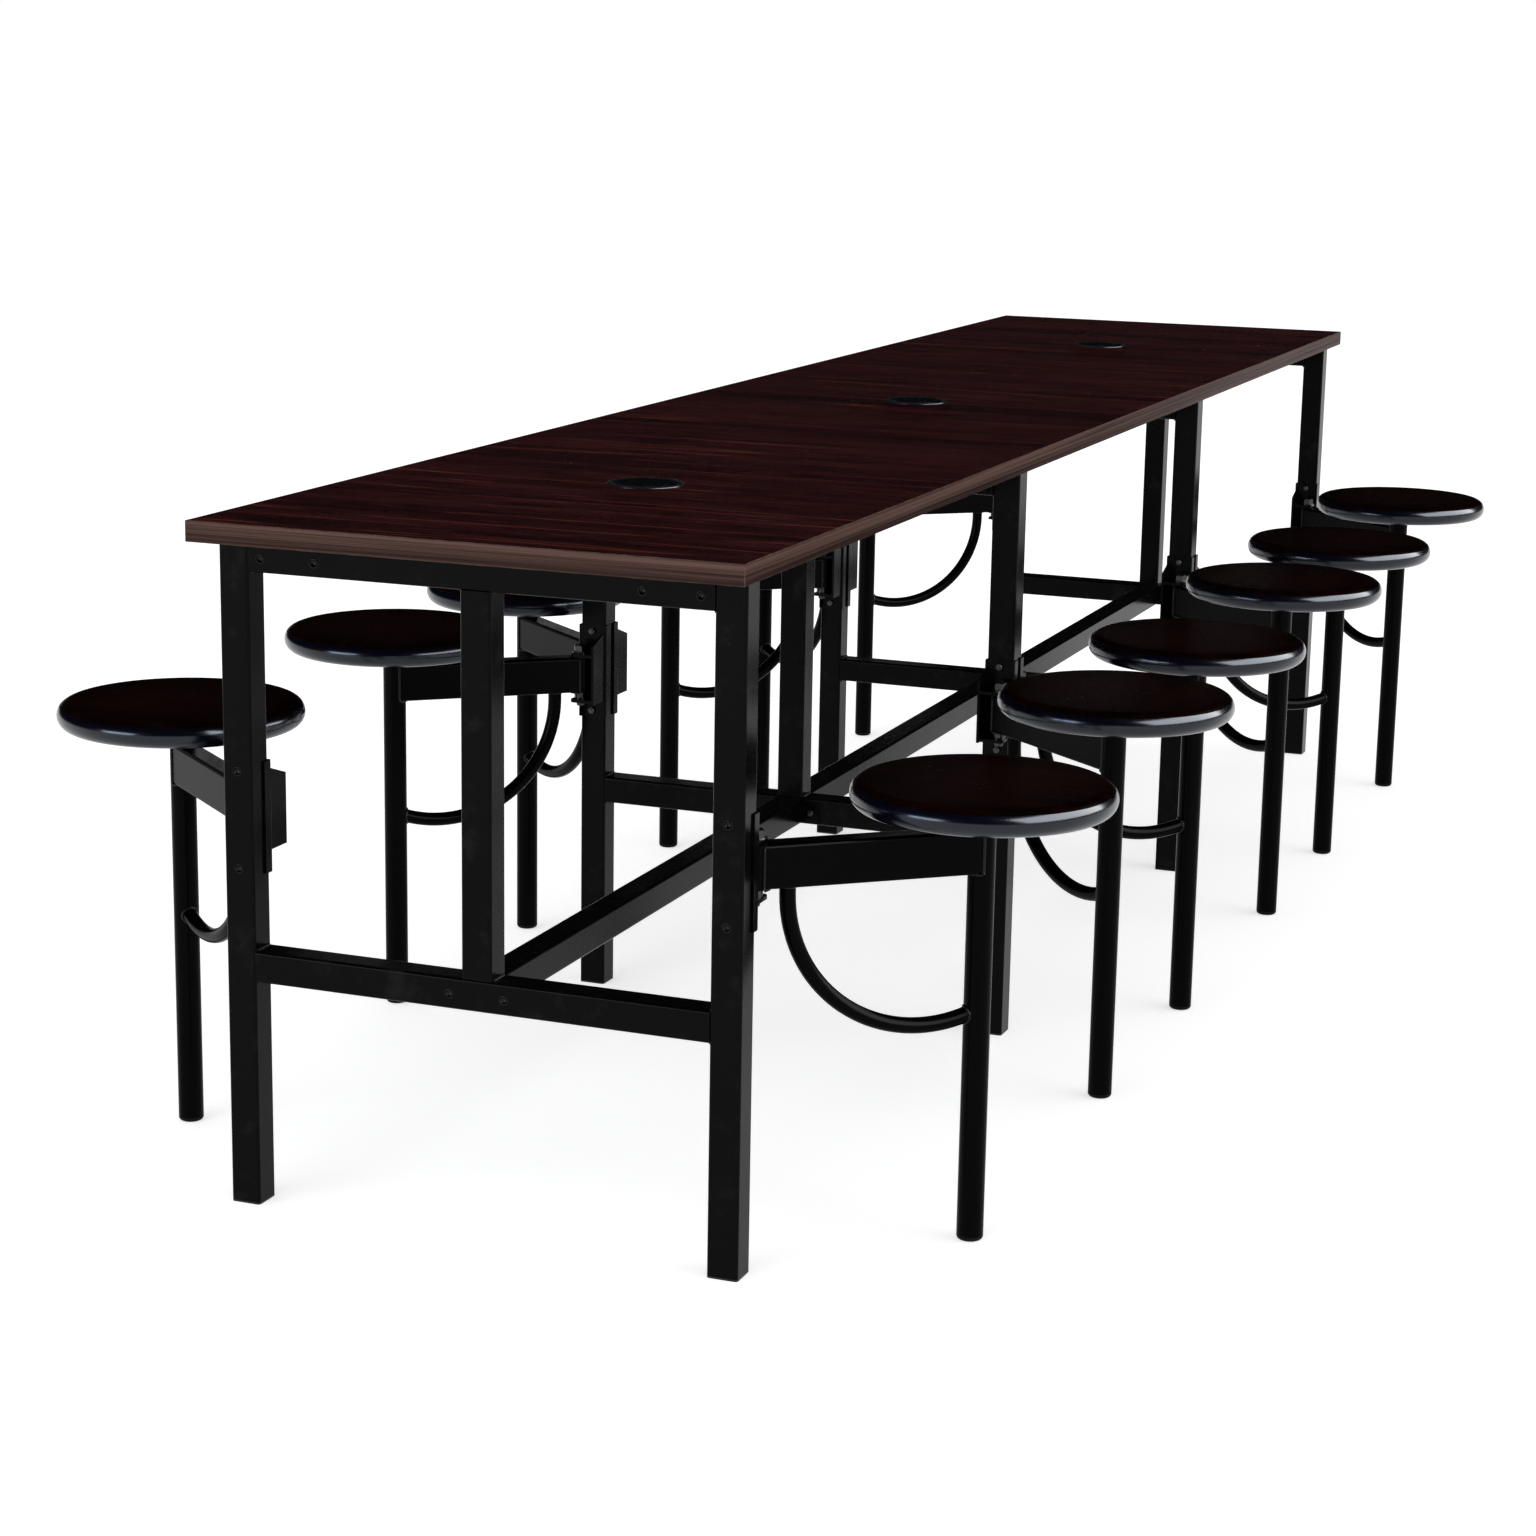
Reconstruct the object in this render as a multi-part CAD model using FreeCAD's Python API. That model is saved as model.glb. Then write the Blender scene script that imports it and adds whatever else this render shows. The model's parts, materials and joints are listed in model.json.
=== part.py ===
import FreeCAD, Part
import math
import os

# Long counter-height dining table with twelve seats that swing out from its legs.
# Millimetres. X runs across the table (+X is its right side), Y runs along it, +Z is up.
# The origin is on the floor under the middle of the top.
# Every seat stands on a post at the end of an arm. The arm turns on a vertical bolt held by a
# bracket on a leg, and the seat turns on its post.

os.makedirs("parts", exist_ok=True)

V = FreeCAD.Vector
UP = V(0, 0, 1)
DOWN = V(0, 0, -1)

# ---- Table top ---------------------------------------------------------------------------------
TOP_LENGTH = 3658.0
TOP_WIDTH = 790.0
TOP_THICKNESS = 28.6
TOP_HEIGHT = 960.0
BAND_THICKNESS = 2.0

# ---- Cable grommets ----------------------------------------------------------------------------
GROMMET_COUNT = 3
GROMMET_HOLE_RADIUS = 50.0
GROMMET_RIM_RADIUS = 56.5
GROMMET_RIM_HEIGHT = 2.0
GROMMET_REBATE_DEPTH = 1.0
GROMMET_REBATE_GAP = 1.0
GROMMET_SLEEVE_DEPTH = 22.0
GROMMET_WALL = 3.5
GROMMET_FIT = 0.3
CAP_THICKNESS = 3.0
NOTCH_RADIUS = 12.0

# ---- Square tube of the frames, beams and stringers --------------------------------------------
TUBE_SIZE = 44.0
TUBE_WALL = 2.5
TUBE_CORNER = 4.0
FOOT_FLANGE = 2.5
FOOT_PLUG_HEIGHT = 18.0
FOOT_PLUG_FIT = 0.3

# ---- Frames ------------------------------------------------------------------------------------
FRAME_COUNT = 4
END_OVERHANG = 55.0
SIDE_OVERHANG = 17.0
LOWER_RAIL_BOTTOM = 321.0

# ---- Beams between the frames ------------------------------------------------------------------
STRINGER_INBOARD = 81.0
END_PLATE = 4.0
END_PLATE_REACH = 52.0
END_PLATE_HEIGHT = 36.0
PLATE_BOLT_X = 40.0

# ---- Hinge brackets ----------------------------------------------------------------------------
SADDLE_BOTTOM = 467.5
SADDLE_TOP = 624.0
SADDLE_WEB = 4.0
SADDLE_FLANGE = 3.0
SADDLE_WRAP = 14.0
CHEEK_PLATE = 4.0
CHEEK_REACH = 48.0
CHEEK_BOTTOM = 497.0
CHEEK_TOP_INNER = 612.0
CHEEK_TOP_OUTER = 597.0
EAR_PLATE = 5.0
EAR_CORNER = 8.0
LOWER_EAR_BOTTOM = 499.0
BRACKET_BOLT_HIGH = 614.5
BRACKET_BOLT_LOW = 479.3

# ---- Hinge of the arm --------------------------------------------------------------------------
HINGE_OUTBOARD = 10.0
HINGE_STANDOFF = 28.0
HINGE_PIN_RADIUS = 7.0
RUNNING_FIT = 0.05
THRUST_GAP = 0.3
PIN_TAIL = 8.0
HEAD_ACROSS_FLATS = 21.0
HEAD_HEIGHT = 11.0
WASHER_RADIUS = 14.0
WASHER_THICKNESS = 2.5
SPACER_RADIUS = 10.8
KNUCKLE_RADIUS = 19.0

# ---- Swing stop: a pin under the arm runs in a curved slot of the lower ear --------------------
STOP_RADIUS = 14.5
STOP_PIN_RADIUS = 3.0
STOP_CLEARANCE = 0.4
REST_ANGLE = 40.0
OUT_ANGLE = 28.0
STOWED_ANGLE = 110.0

# ---- Arm, post and brace -----------------------------------------------------------------------
ARM_LENGTH = 317.0
ARM_WIDTH = 36.0
ARM_HEIGHT = 60.0
ARM_BOTTOM = 516.0
ARM_WALL = 2.5
ARM_CORNER = 5.0
POST_RADIUS = 18.5
POST_WALL = 2.5
POST_TOP = 592.0
GLIDE_HEIGHT = 7.0
GLIDE_ROUND = 6.0
GLIDE_PLUG = 20.0
PLUG_FIT = 0.1
BRACE_RADIUS = 11.0
BRACE_BEND = 195.0
BRACE_START = 45.0
BRACE_DROP = 11.0

# ---- Seat and its swivel -----------------------------------------------------------------------
SEAT_RADIUS = 178.0
SEAT_TOP = 640.0
SEAT_THICKNESS = 38.0
SEAT_PLATE_RADIUS = 55.0
SEAT_PLATE_THICKNESS = 2.5
SPINDLE_RADIUS = 12.5
SPINDLE_LENGTH = 50.0
COLLAR_RADIUS = 15.0
BUSHING_LENGTH = 40.0
BUSHING_FLANGE = 3.0

# ---- Screws of the frame -----------------------------------------------------------------------
SCREW_RADIUS = 3.0
SCREW_HOLE_RADIUS = 3.3
SCREW_HEAD_RADIUS = 5.0
SCREW_HEAD_HEIGHT = 6.0
ACCESS_HOLE_RADIUS = 5.5
NUT_ACROSS_FLATS = 10.0
NUT_HEIGHT = 5.0
STRINGER_SCREW_DROP = 25.0
BEAM_SCREW_RISE = 21.5

# ---- Places that follow from the sizes ---------------------------------------------------------
TUBE_HALF = TUBE_SIZE / 2
BOARD_BOTTOM = TOP_HEIGHT - TOP_THICKNESS
LEG_X = TOP_WIDTH / 2 - SIDE_OVERHANG - TUBE_HALF
STRINGER_X = LEG_X - STRINGER_INBOARD
FRAME_SPAN = TOP_LENGTH - 2 * END_OVERHANG - TUBE_SIZE
FRAME_PITCH = FRAME_SPAN / (FRAME_COUNT - 1)
TOP_RAIL_BOTTOM = BOARD_BOTTOM - TUBE_SIZE
LOWER_RAIL_TOP = LOWER_RAIL_BOTTOM + TUBE_SIZE
ARM_TOP = ARM_BOTTOM + ARM_HEIGHT
UPPER_EAR_BOTTOM = ARM_TOP + THRUST_GAP
UPPER_EAR_TOP = UPPER_EAR_BOTTOM + EAR_PLATE
LOWER_EAR_TOP = LOWER_EAR_BOTTOM + EAR_PLATE
SADDLE_FACE = TUBE_HALF + SADDLE_WEB
HINGE_Y = TUBE_HALF + HINGE_STANDOFF
SEAT_BOTTOM = SEAT_TOP - SEAT_THICKNESS
COLLAR_BOTTOM = POST_TOP + BUSHING_FLANGE + THRUST_GAP
HINGE_BORE = HINGE_PIN_RADIUS + RUNNING_FIT
BRACE_CENTRE_S = BRACE_START + BRACE_BEND
BRACE_CENTRE_Z = ARM_BOTTOM - BRACE_DROP
BEAM_SCREW_Z = LOWER_RAIL_BOTTOM + BEAM_SCREW_RISE
STRINGER_SCREW_Z = BOARD_BOTTOM - STRINGER_SCREW_DROP

SIDES = (("right", 1), ("left", -1))


def frame_y(index):
    """Y of the centre of a frame, counted from the front end."""
    return index * FRAME_PITCH - FRAME_SPAN / 2


def seat_faces(index):
    """Directions along Y in which a frame's legs carry seats: only towards another frame."""
    faces = []
    if index > 0:
        faces.append(-1)
    if index < FRAME_COUNT - 1:
        faces.append(1)
    return faces


def save(name, solids):
    """Write one sub-part."""
    shape = solids[0] if len(solids) == 1 else Part.makeCompound(solids)
    shape.exportStep("parts/" + name + ".step")


# ---- Basic forms -------------------------------------------------------------------------------
def rounded_bar(width, depth, length, corner):
    """Bar along +Z from the origin, with its four long edges rounded."""
    bar = Part.makeBox(width, depth, length, V(-width / 2, -depth / 2, 0))
    long_edges = [edge for edge in bar.Edges if edge.BoundBox.ZLength > length / 2]
    return bar.makeFillet(corner, long_edges)


def tube(width, depth, length, wall, corner):
    """Rectangular tube along +Z from the origin."""
    outer = rounded_bar(width, depth, length, corner)
    inner_corner = max(corner - wall, wall / 4)
    inner = rounded_bar(width - 2 * wall, depth - 2 * wall, length, inner_corner)
    return outer.cut(inner)


def square_tube(start, direction, length):
    """Length of the frame's square tube from a start point."""
    stock = tube(TUBE_SIZE, TUBE_SIZE, length, TUBE_WALL, TUBE_CORNER)
    stock.Placement = FreeCAD.Placement(start, FreeCAD.Rotation(UP, direction))
    return stock


def ring(outer, inner, height, base):
    """Plain ring standing on a base point."""
    body = Part.makeCylinder(outer, height, base)
    return body.cut(Part.makeCylinder(inner, height, base))


def turned(profile):
    """Solid of revolution about Z from a closed profile of (radius, height) points."""
    points = [V(radius, 0, height) for radius, height in profile]
    face = Part.Face(Part.makePolygon(points + points[:1]))
    return face.revolve(V(0, 0, 0), UP, 360)


def bullnose_disc(radius, thickness, bottom):
    """Disc on the Z axis with a half-round edge."""
    half = thickness / 2
    flat = radius - half
    top = bottom + thickness
    edges = [Part.makeLine(V(0, 0, bottom), V(flat, 0, bottom)),
             Part.Arc(V(flat, 0, bottom), V(radius, 0, bottom + half), V(flat, 0, top)).toShape(),
             Part.makeLine(V(flat, 0, top), V(0, 0, top)),
             Part.makeLine(V(0, 0, top), V(0, 0, bottom))]
    return Part.Face(Part.Wire(edges)).revolve(V(0, 0, 0), UP, 360)


def hex_prism(across_flats, height, base, direction):
    """Hexagonal nut or bolt head."""
    corner = across_flats / math.sqrt(3)
    points = [V(corner * math.cos(math.radians(60 * k)), corner * math.sin(math.radians(60 * k)), 0)
              for k in range(6)]
    prism = Part.Face(Part.makePolygon(points + points[:1])).extrude(V(0, 0, height))
    prism.Placement = FreeCAD.Placement(base, FreeCAD.Rotation(UP, direction))
    return prism


def placed(shape, side, face, index):
    """Move a shape made for a right leg's +Y face to another leg and face."""
    if side < 0:
        shape = shape.mirror(V(0, 0, 0), V(1, 0, 0))
    if face < 0:
        shape = shape.mirror(V(0, 0, 0), V(0, 1, 0))
    return shape.translated(V(side * LEG_X, frame_y(index), 0))


# ---- Table top ---------------------------------------------------------------------------------
def grommet_places():
    """Centres of the cable grommets: the middles of equal lengths of the top."""
    cell = TOP_LENGTH / GROMMET_COUNT
    return [V(0, (k + 0.5) * cell - TOP_LENGTH / 2, 0) for k in range(GROMMET_COUNT)]


def table_top():
    """Board between the edge bands, with a hole and a shallow rebate for each grommet."""
    width = TOP_WIDTH - 2 * BAND_THICKNESS
    length = TOP_LENGTH - 2 * BAND_THICKNESS
    board = Part.makeBox(width, length, TOP_THICKNESS, V(-width / 2, -length / 2, BOARD_BOTTOM))
    rebate_radius = GROMMET_RIM_RADIUS + GROMMET_REBATE_GAP
    rebate_floor = TOP_HEIGHT - GROMMET_REBATE_DEPTH
    for place in grommet_places():
        hole = Part.makeCylinder(GROMMET_HOLE_RADIUS, TOP_THICKNESS, place + V(0, 0, BOARD_BOTTOM))
        rebate = Part.makeCylinder(rebate_radius, GROMMET_REBATE_DEPTH, place + V(0, 0, rebate_floor))
        board = board.cut(hole.fuse(rebate))
    return board


def edge_band():
    """Two long strips, and two short ones that cover their ends."""
    strips = []
    long_strip = TOP_LENGTH - 2 * BAND_THICKNESS
    for sign in (-1, 1):
        x = sign * (TOP_WIDTH - BAND_THICKNESS) / 2 - BAND_THICKNESS / 2
        strips.append(Part.makeBox(BAND_THICKNESS, long_strip, TOP_THICKNESS,
                                   V(x, -long_strip / 2, BOARD_BOTTOM)))
        y = sign * (TOP_LENGTH - BAND_THICKNESS) / 2 - BAND_THICKNESS / 2
        strips.append(Part.makeBox(TOP_WIDTH, BAND_THICKNESS, TOP_THICKNESS,
                                   V(-TOP_WIDTH / 2, y, BOARD_BOTTOM)))
    return strips


def grommet(place):
    """Sleeve with a domed rim, and a cap with a notch for cables on its right."""
    outer = GROMMET_HOLE_RADIUS - GROMMET_FIT
    inner = outer - GROMMET_WALL
    rim_bottom = TOP_HEIGHT - GROMMET_REBATE_DEPTH
    rim_top = TOP_HEIGHT + GROMMET_RIM_HEIGHT
    sleeve = turned([(inner, TOP_HEIGHT - GROMMET_SLEEVE_DEPTH),
                     (outer, TOP_HEIGHT - GROMMET_SLEEVE_DEPTH),
                     (outer, rim_bottom),
                     (GROMMET_RIM_RADIUS, rim_bottom),
                     (GROMMET_RIM_RADIUS, TOP_HEIGHT),
                     (GROMMET_RIM_RADIUS - GROMMET_RIM_HEIGHT, rim_top),
                     (inner + GROMMET_RIM_HEIGHT / 2, rim_top),
                     (inner, rim_top - GROMMET_RIM_HEIGHT / 2)])
    cap_radius = inner - GROMMET_FIT
    cap = Part.makeCylinder(cap_radius, CAP_THICKNESS, V(0, 0, TOP_HEIGHT - CAP_THICKNESS / 2))
    notch = Part.makeCylinder(NOTCH_RADIUS, TOP_THICKNESS, V(cap_radius, 0, TOP_HEIGHT - TOP_THICKNESS / 2))
    return [sleeve.translated(place), cap.cut(notch).translated(place)]


# ---- Frames and beams --------------------------------------------------------------------------
def frame_screw_points():
    """(x, z) of the screws that hold the beams' end plates to a frame's rails."""
    points = [(sign * PLATE_BOLT_X, BEAM_SCREW_Z) for sign in (-1, 1)]
    for stringer in (-STRINGER_X, STRINGER_X):
        points += [(stringer + sign * PLATE_BOLT_X, STRINGER_SCREW_Z) for sign in (-1, 1)]
    return points


def leg_screw_points():
    """(x, z) of the screws that hold the hinge brackets to a frame's legs."""
    heights = (BRACKET_BOLT_LOW, BRACKET_BOLT_HIGH)
    return [(sign * LEG_X, height) for sign in (-1, 1) for height in heights]


def screw_holes(index):
    """Holes along Y through a frame: an end frame's outer wall has the wide ones for the heads."""
    faces = seat_faces(index)
    holes = []
    for x, z in frame_screw_points() + leg_screw_points():
        start = V(x, frame_y(index) - TUBE_SIZE, z)
        holes.append(Part.makeCylinder(SCREW_HOLE_RADIUS, 2 * TUBE_SIZE, start, V(0, 1, 0)))
        if len(faces) == 1:
            centre = V(x, frame_y(index), z)
            holes.append(Part.makeCylinder(ACCESS_HOLE_RADIUS, TUBE_SIZE, centre, V(0, -faces[0], 0)))
    return holes


def frame(index):
    """Two legs, an upper and a lower rail between them, and a post between the rails."""
    y = frame_y(index)
    leg_length = BOARD_BOTTOM - FOOT_FLANGE
    rail_start = TUBE_HALF - LEG_X
    rail_length = 2 * LEG_X - TUBE_SIZE
    tubes = [square_tube(V(side * LEG_X, y, FOOT_FLANGE), UP, leg_length) for name, side in SIDES]
    for bottom in (LOWER_RAIL_BOTTOM, TOP_RAIL_BOTTOM):
        tubes.append(square_tube(V(rail_start, y, bottom + TUBE_HALF), V(1, 0, 0), rail_length))
    tubes.append(square_tube(V(0, y, LOWER_RAIL_TOP), UP, TOP_RAIL_BOTTOM - LOWER_RAIL_TOP))
    drills = Part.makeCompound(screw_holes(index))
    return [piece.cut(drills).Solids[0] for piece in tubes]


def foot_plug(side, index):
    """Glide pressed into the foot of a leg."""
    flange = rounded_bar(TUBE_SIZE, TUBE_SIZE, FOOT_FLANGE, TUBE_CORNER)
    plug_size = TUBE_SIZE - 2 * TUBE_WALL - 2 * FOOT_PLUG_FIT
    plug = Part.makeBox(plug_size, plug_size, FOOT_PLUG_HEIGHT,
                        V(-plug_size / 2, -plug_size / 2, FOOT_FLANGE))
    return flange.fuse(plug).translated(V(side * LEG_X, frame_y(index), 0))


def tie_beam(x, bottom, bay):
    """Tube from one frame to the next, with a screwed plate welded on each end."""
    start = frame_y(bay) + TUBE_HALF
    end = frame_y(bay + 1) - TUBE_HALF
    middle = bottom + TUBE_HALF
    beam = [square_tube(V(x, start + END_PLATE, middle), V(0, 1, 0), end - start - 2 * END_PLATE)]
    for y in (start, end - END_PLATE):
        plate = Part.makeBox(2 * END_PLATE_REACH, END_PLATE, END_PLATE_HEIGHT,
                             V(x - END_PLATE_REACH, y, middle - END_PLATE_HEIGHT / 2))
        for hole_x, hole_z in frame_screw_points():
            hole = Part.makeCylinder(SCREW_HOLE_RADIUS, END_PLATE, V(hole_x, y, hole_z), V(0, 1, 0))
            plate = plate.cut(hole)
        beam.append(plate)
    return beam


# ---- Hinge bracket -----------------------------------------------------------------------------
def ear(bottom):
    """Flat ear of the bracket, bored for the hinge bolt, with its outer corner rounded."""
    inner = CHEEK_PLATE - TUBE_HALF
    plate = Part.makeBox(TUBE_HALF - inner, CHEEK_REACH - SADDLE_WEB, EAR_PLATE,
                         V(inner, SADDLE_FACE, bottom))
    corner = [edge for edge in plate.Edges
              if edge.BoundBox.XMin > TUBE_HALF - 1 and edge.BoundBox.YMin > SADDLE_FACE + 1
              and edge.BoundBox.ZLength > EAR_PLATE / 2]
    plate = plate.makeFillet(EAR_CORNER, corner)
    return plate.cut(Part.makeCylinder(HINGE_BORE, EAR_PLATE, V(HINGE_OUTBOARD, HINGE_Y, bottom)))


def arc_point(radius, angle):
    """Point in plan at an angle around the hinge bolt."""
    turn = math.radians(angle)
    return V(HINGE_OUTBOARD + radius * math.cos(turn), HINGE_Y + radius * math.sin(turn), 0)


def stop_slot():
    """Curved slot that the stop pin travels, with round ends."""
    half = STOP_PIN_RADIUS + STOP_CLEARANCE
    first = OUT_ANGLE + 180
    last = STOWED_ANGLE + 180
    middle = (first + last) / 2
    outer = STOP_RADIUS + half
    inner = STOP_RADIUS - half
    start_cap = arc_point(STOP_RADIUS, first) - (arc_point(1, first + 90) - arc_point(0, 0)) * half
    end_cap = arc_point(STOP_RADIUS, last) + (arc_point(1, last + 90) - arc_point(0, 0)) * half
    edges = [Part.Arc(arc_point(outer, first), arc_point(outer, middle), arc_point(outer, last)).toShape(),
             Part.Arc(arc_point(outer, last), end_cap, arc_point(inner, last)).toShape(),
             Part.Arc(arc_point(inner, last), arc_point(inner, middle), arc_point(inner, first)).toShape(),
             Part.Arc(arc_point(inner, first), start_cap, arc_point(outer, first)).toShape()]
    slot = Part.Face(Part.Wire(edges)).extrude(V(0, 0, EAR_PLATE))
    return slot.translated(V(0, 0, LOWER_EAR_BOTTOM))


def bracket():
    """Saddle round the leg, cheek on its table side and two ears, for a right leg's +Y face."""
    half_width = TUBE_HALF + SADDLE_FLANGE
    height = SADDLE_TOP - SADDLE_BOTTOM
    saddle = Part.makeBox(2 * half_width, SADDLE_WRAP + SADDLE_WEB, height,
                          V(-half_width, TUBE_HALF - SADDLE_WRAP, SADDLE_BOTTOM))
    bends = [edge for edge in saddle.Edges
             if edge.BoundBox.ZLength > height / 2 and edge.BoundBox.YMin > TUBE_HALF]
    saddle = saddle.makeFillet(SADDLE_FLANGE, bends)
    saddle = saddle.cut(Part.makeBox(TUBE_SIZE, TUBE_SIZE, height, V(-TUBE_HALF, -TUBE_HALF, SADDLE_BOTTOM)))
    reach = TUBE_HALF + CHEEK_REACH
    outline = [V(-TUBE_HALF, SADDLE_FACE, CHEEK_BOTTOM),
               V(-TUBE_HALF, reach, CHEEK_BOTTOM),
               V(-TUBE_HALF, reach, CHEEK_TOP_OUTER),
               V(-TUBE_HALF, SADDLE_FACE, CHEEK_TOP_INNER)]
    cheek = Part.Face(Part.makePolygon(outline + outline[:1])).extrude(V(CHEEK_PLATE, 0, 0))
    lower_ear = ear(LOWER_EAR_BOTTOM).cut(stop_slot())
    body = saddle.fuse([cheek, ear(UPPER_EAR_BOTTOM), lower_ear]).removeSplitter()
    for z in (BRACKET_BOLT_LOW, BRACKET_BOLT_HIGH):
        body = body.cut(Part.makeCylinder(SCREW_HOLE_RADIUS, SADDLE_FACE, V(0, 0, z), V(0, 1, 0)))
    return body


def hinge_bolt():
    """Hexagon bolt through both ears, its washer, and the spacer that keeps the arm off the lower ear."""
    axis = V(HINGE_OUTBOARD, HINGE_Y, 0)
    head_bottom = UPPER_EAR_TOP + WASHER_THICKNESS
    tail = LOWER_EAR_BOTTOM - PIN_TAIL
    shank = Part.makeCylinder(HINGE_PIN_RADIUS, head_bottom - tail, axis + V(0, 0, tail))
    head = hex_prism(HEAD_ACROSS_FLATS, HEAD_HEIGHT, axis + V(0, 0, head_bottom), UP)
    washer = ring(WASHER_RADIUS, HINGE_BORE, WASHER_THICKNESS, axis + V(0, 0, UPPER_EAR_TOP))
    spacer = ring(SPACER_RADIUS, HINGE_BORE, ARM_BOTTOM - THRUST_GAP - LOWER_EAR_TOP,
                  axis + V(0, 0, LOWER_EAR_TOP))
    return [shank.fuse(head), washer, spacer]


# ---- Arm, post and seat, made with the hinge on the Z axis and the arm along +X ----------------
def post_envelope():
    """Outside of the post, to cope the arm and the brace against it."""
    return Part.makeCylinder(POST_RADIUS, SEAT_TOP, V(ARM_LENGTH, 0, 0))


def arm_tube():
    """Box tube of the arm, coped round the knuckle and round the post."""
    stock = tube(ARM_WIDTH, ARM_HEIGHT, ARM_LENGTH, ARM_WALL, ARM_CORNER)
    stock.Placement = FreeCAD.Placement(V(0, 0, ARM_BOTTOM + ARM_HEIGHT / 2),
                                        FreeCAD.Rotation(V(0, 1, 0), UP, V(1, 0, 0), "ZXY"))
    knuckle_envelope = Part.makeCylinder(KNUCKLE_RADIUS, ARM_HEIGHT, V(0, 0, ARM_BOTTOM))
    coped = stock.cut(Part.makeCompound([knuckle_envelope, post_envelope()]))
    return max(coped.Solids, key=lambda solid: solid.Volume)


def knuckle():
    """Bored sleeve that turns on the hinge bolt, with the stop pin under its tail."""
    sleeve = ring(KNUCKLE_RADIUS, HINGE_BORE, ARM_HEIGHT, V(0, 0, ARM_BOTTOM))
    stop_pin = Part.makeCylinder(STOP_PIN_RADIUS, ARM_BOTTOM - LOWER_EAR_BOTTOM,
                                 V(-STOP_RADIUS, 0, LOWER_EAR_BOTTOM))
    return sleeve.fuse(stop_pin)


def brace():
    """Round bar that leaves the arm straight down and bends round to the post."""
    stub = Part.makeCylinder(BRACE_RADIUS, BRACE_DROP, V(BRACE_START, 0, ARM_BOTTOM), DOWN)
    section = Part.Face(Part.Wire(Part.makeCircle(BRACE_RADIUS, V(BRACE_START, 0, BRACE_CENTRE_Z), DOWN)))
    turn = 90 + math.degrees(math.asin((ARM_LENGTH - BRACE_CENTRE_S) / BRACE_BEND))
    bend = section.revolve(V(BRACE_CENTRE_S, 0, BRACE_CENTRE_Z), V(0, -1, 0), turn)
    bar = stub.fuse(bend).cut(post_envelope())
    return max(bar.Solids, key=lambda solid: solid.Volume)


def post_pieces():
    """Post tube, rounded glide under it and the flanged bushing in its top."""
    axis = V(ARM_LENGTH, 0, 0)
    bore = POST_RADIUS - POST_WALL
    post = ring(POST_RADIUS, bore, POST_TOP - GLIDE_HEIGHT, V(0, 0, GLIDE_HEIGHT))
    glide = Part.makeCylinder(POST_RADIUS, GLIDE_HEIGHT)
    rim = [edge for edge in glide.Edges if edge.BoundBox.ZMax < GLIDE_HEIGHT / 2]
    glide = glide.makeFillet(GLIDE_ROUND, rim)
    glide = glide.fuse(Part.makeCylinder(bore - PLUG_FIT, GLIDE_PLUG, V(0, 0, GLIDE_HEIGHT)))
    bushing_bore = SPINDLE_RADIUS + RUNNING_FIT
    bushing = ring(bore - PLUG_FIT, bushing_bore, BUSHING_LENGTH, V(0, 0, POST_TOP - BUSHING_LENGTH))
    bushing = bushing.fuse(ring(POST_RADIUS, bushing_bore, BUSHING_FLANGE, V(0, 0, POST_TOP)))
    return [piece.translated(axis) for piece in (post, glide, bushing)]


def seat_pieces():
    """Round seat with its half-round edge, and the spindle with its collar and plate under it."""
    disc = bullnose_disc(SEAT_RADIUS, SEAT_THICKNESS, SEAT_BOTTOM)
    plate_bottom = SEAT_BOTTOM - SEAT_PLATE_THICKNESS
    spindle = turned([(0, COLLAR_BOTTOM - SPINDLE_LENGTH),
                      (SPINDLE_RADIUS, COLLAR_BOTTOM - SPINDLE_LENGTH),
                      (SPINDLE_RADIUS, COLLAR_BOTTOM),
                      (COLLAR_RADIUS, COLLAR_BOTTOM),
                      (COLLAR_RADIUS, plate_bottom),
                      (SEAT_PLATE_RADIUS, plate_bottom),
                      (SEAT_PLATE_RADIUS, SEAT_BOTTOM),
                      (0, SEAT_BOTTOM)])
    return [piece.translated(V(ARM_LENGTH, 0, 0)) for piece in (disc, spindle)]


def swung(pieces, side, face, index):
    """Turn arm pieces to their parked angle and hang them on a leg's hinge."""
    result = []
    for piece in pieces:
        turned_piece = piece.rotated(V(0, 0, 0), UP, REST_ANGLE)
        at_hinge = turned_piece.translated(V(HINGE_OUTBOARD, HINGE_Y, 0))
        result.append(placed(at_hinge, side, face, index))
    return result


# ---- Screws ------------------------------------------------------------------------------------
def end_screw(x, z, index, plate):
    """Socket screw inside an end frame's tube, through its inner wall and one plate, with its nut."""
    face = seat_faces(index)[0]
    along = V(0, face, 0)
    seat_point = V(x, frame_y(index) + face * (TUBE_HALF - TUBE_WALL), z)
    head = Part.makeCylinder(SCREW_HEAD_RADIUS, SCREW_HEAD_HEIGHT, seat_point, along * -1)
    shank = Part.makeCylinder(SCREW_RADIUS, TUBE_WALL + plate + NUT_HEIGHT, seat_point, along)
    nut = hex_prism(NUT_ACROSS_FLATS, NUT_HEIGHT, seat_point + along * (TUBE_WALL + plate), along)
    return head.fuse([shank, nut])


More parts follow.
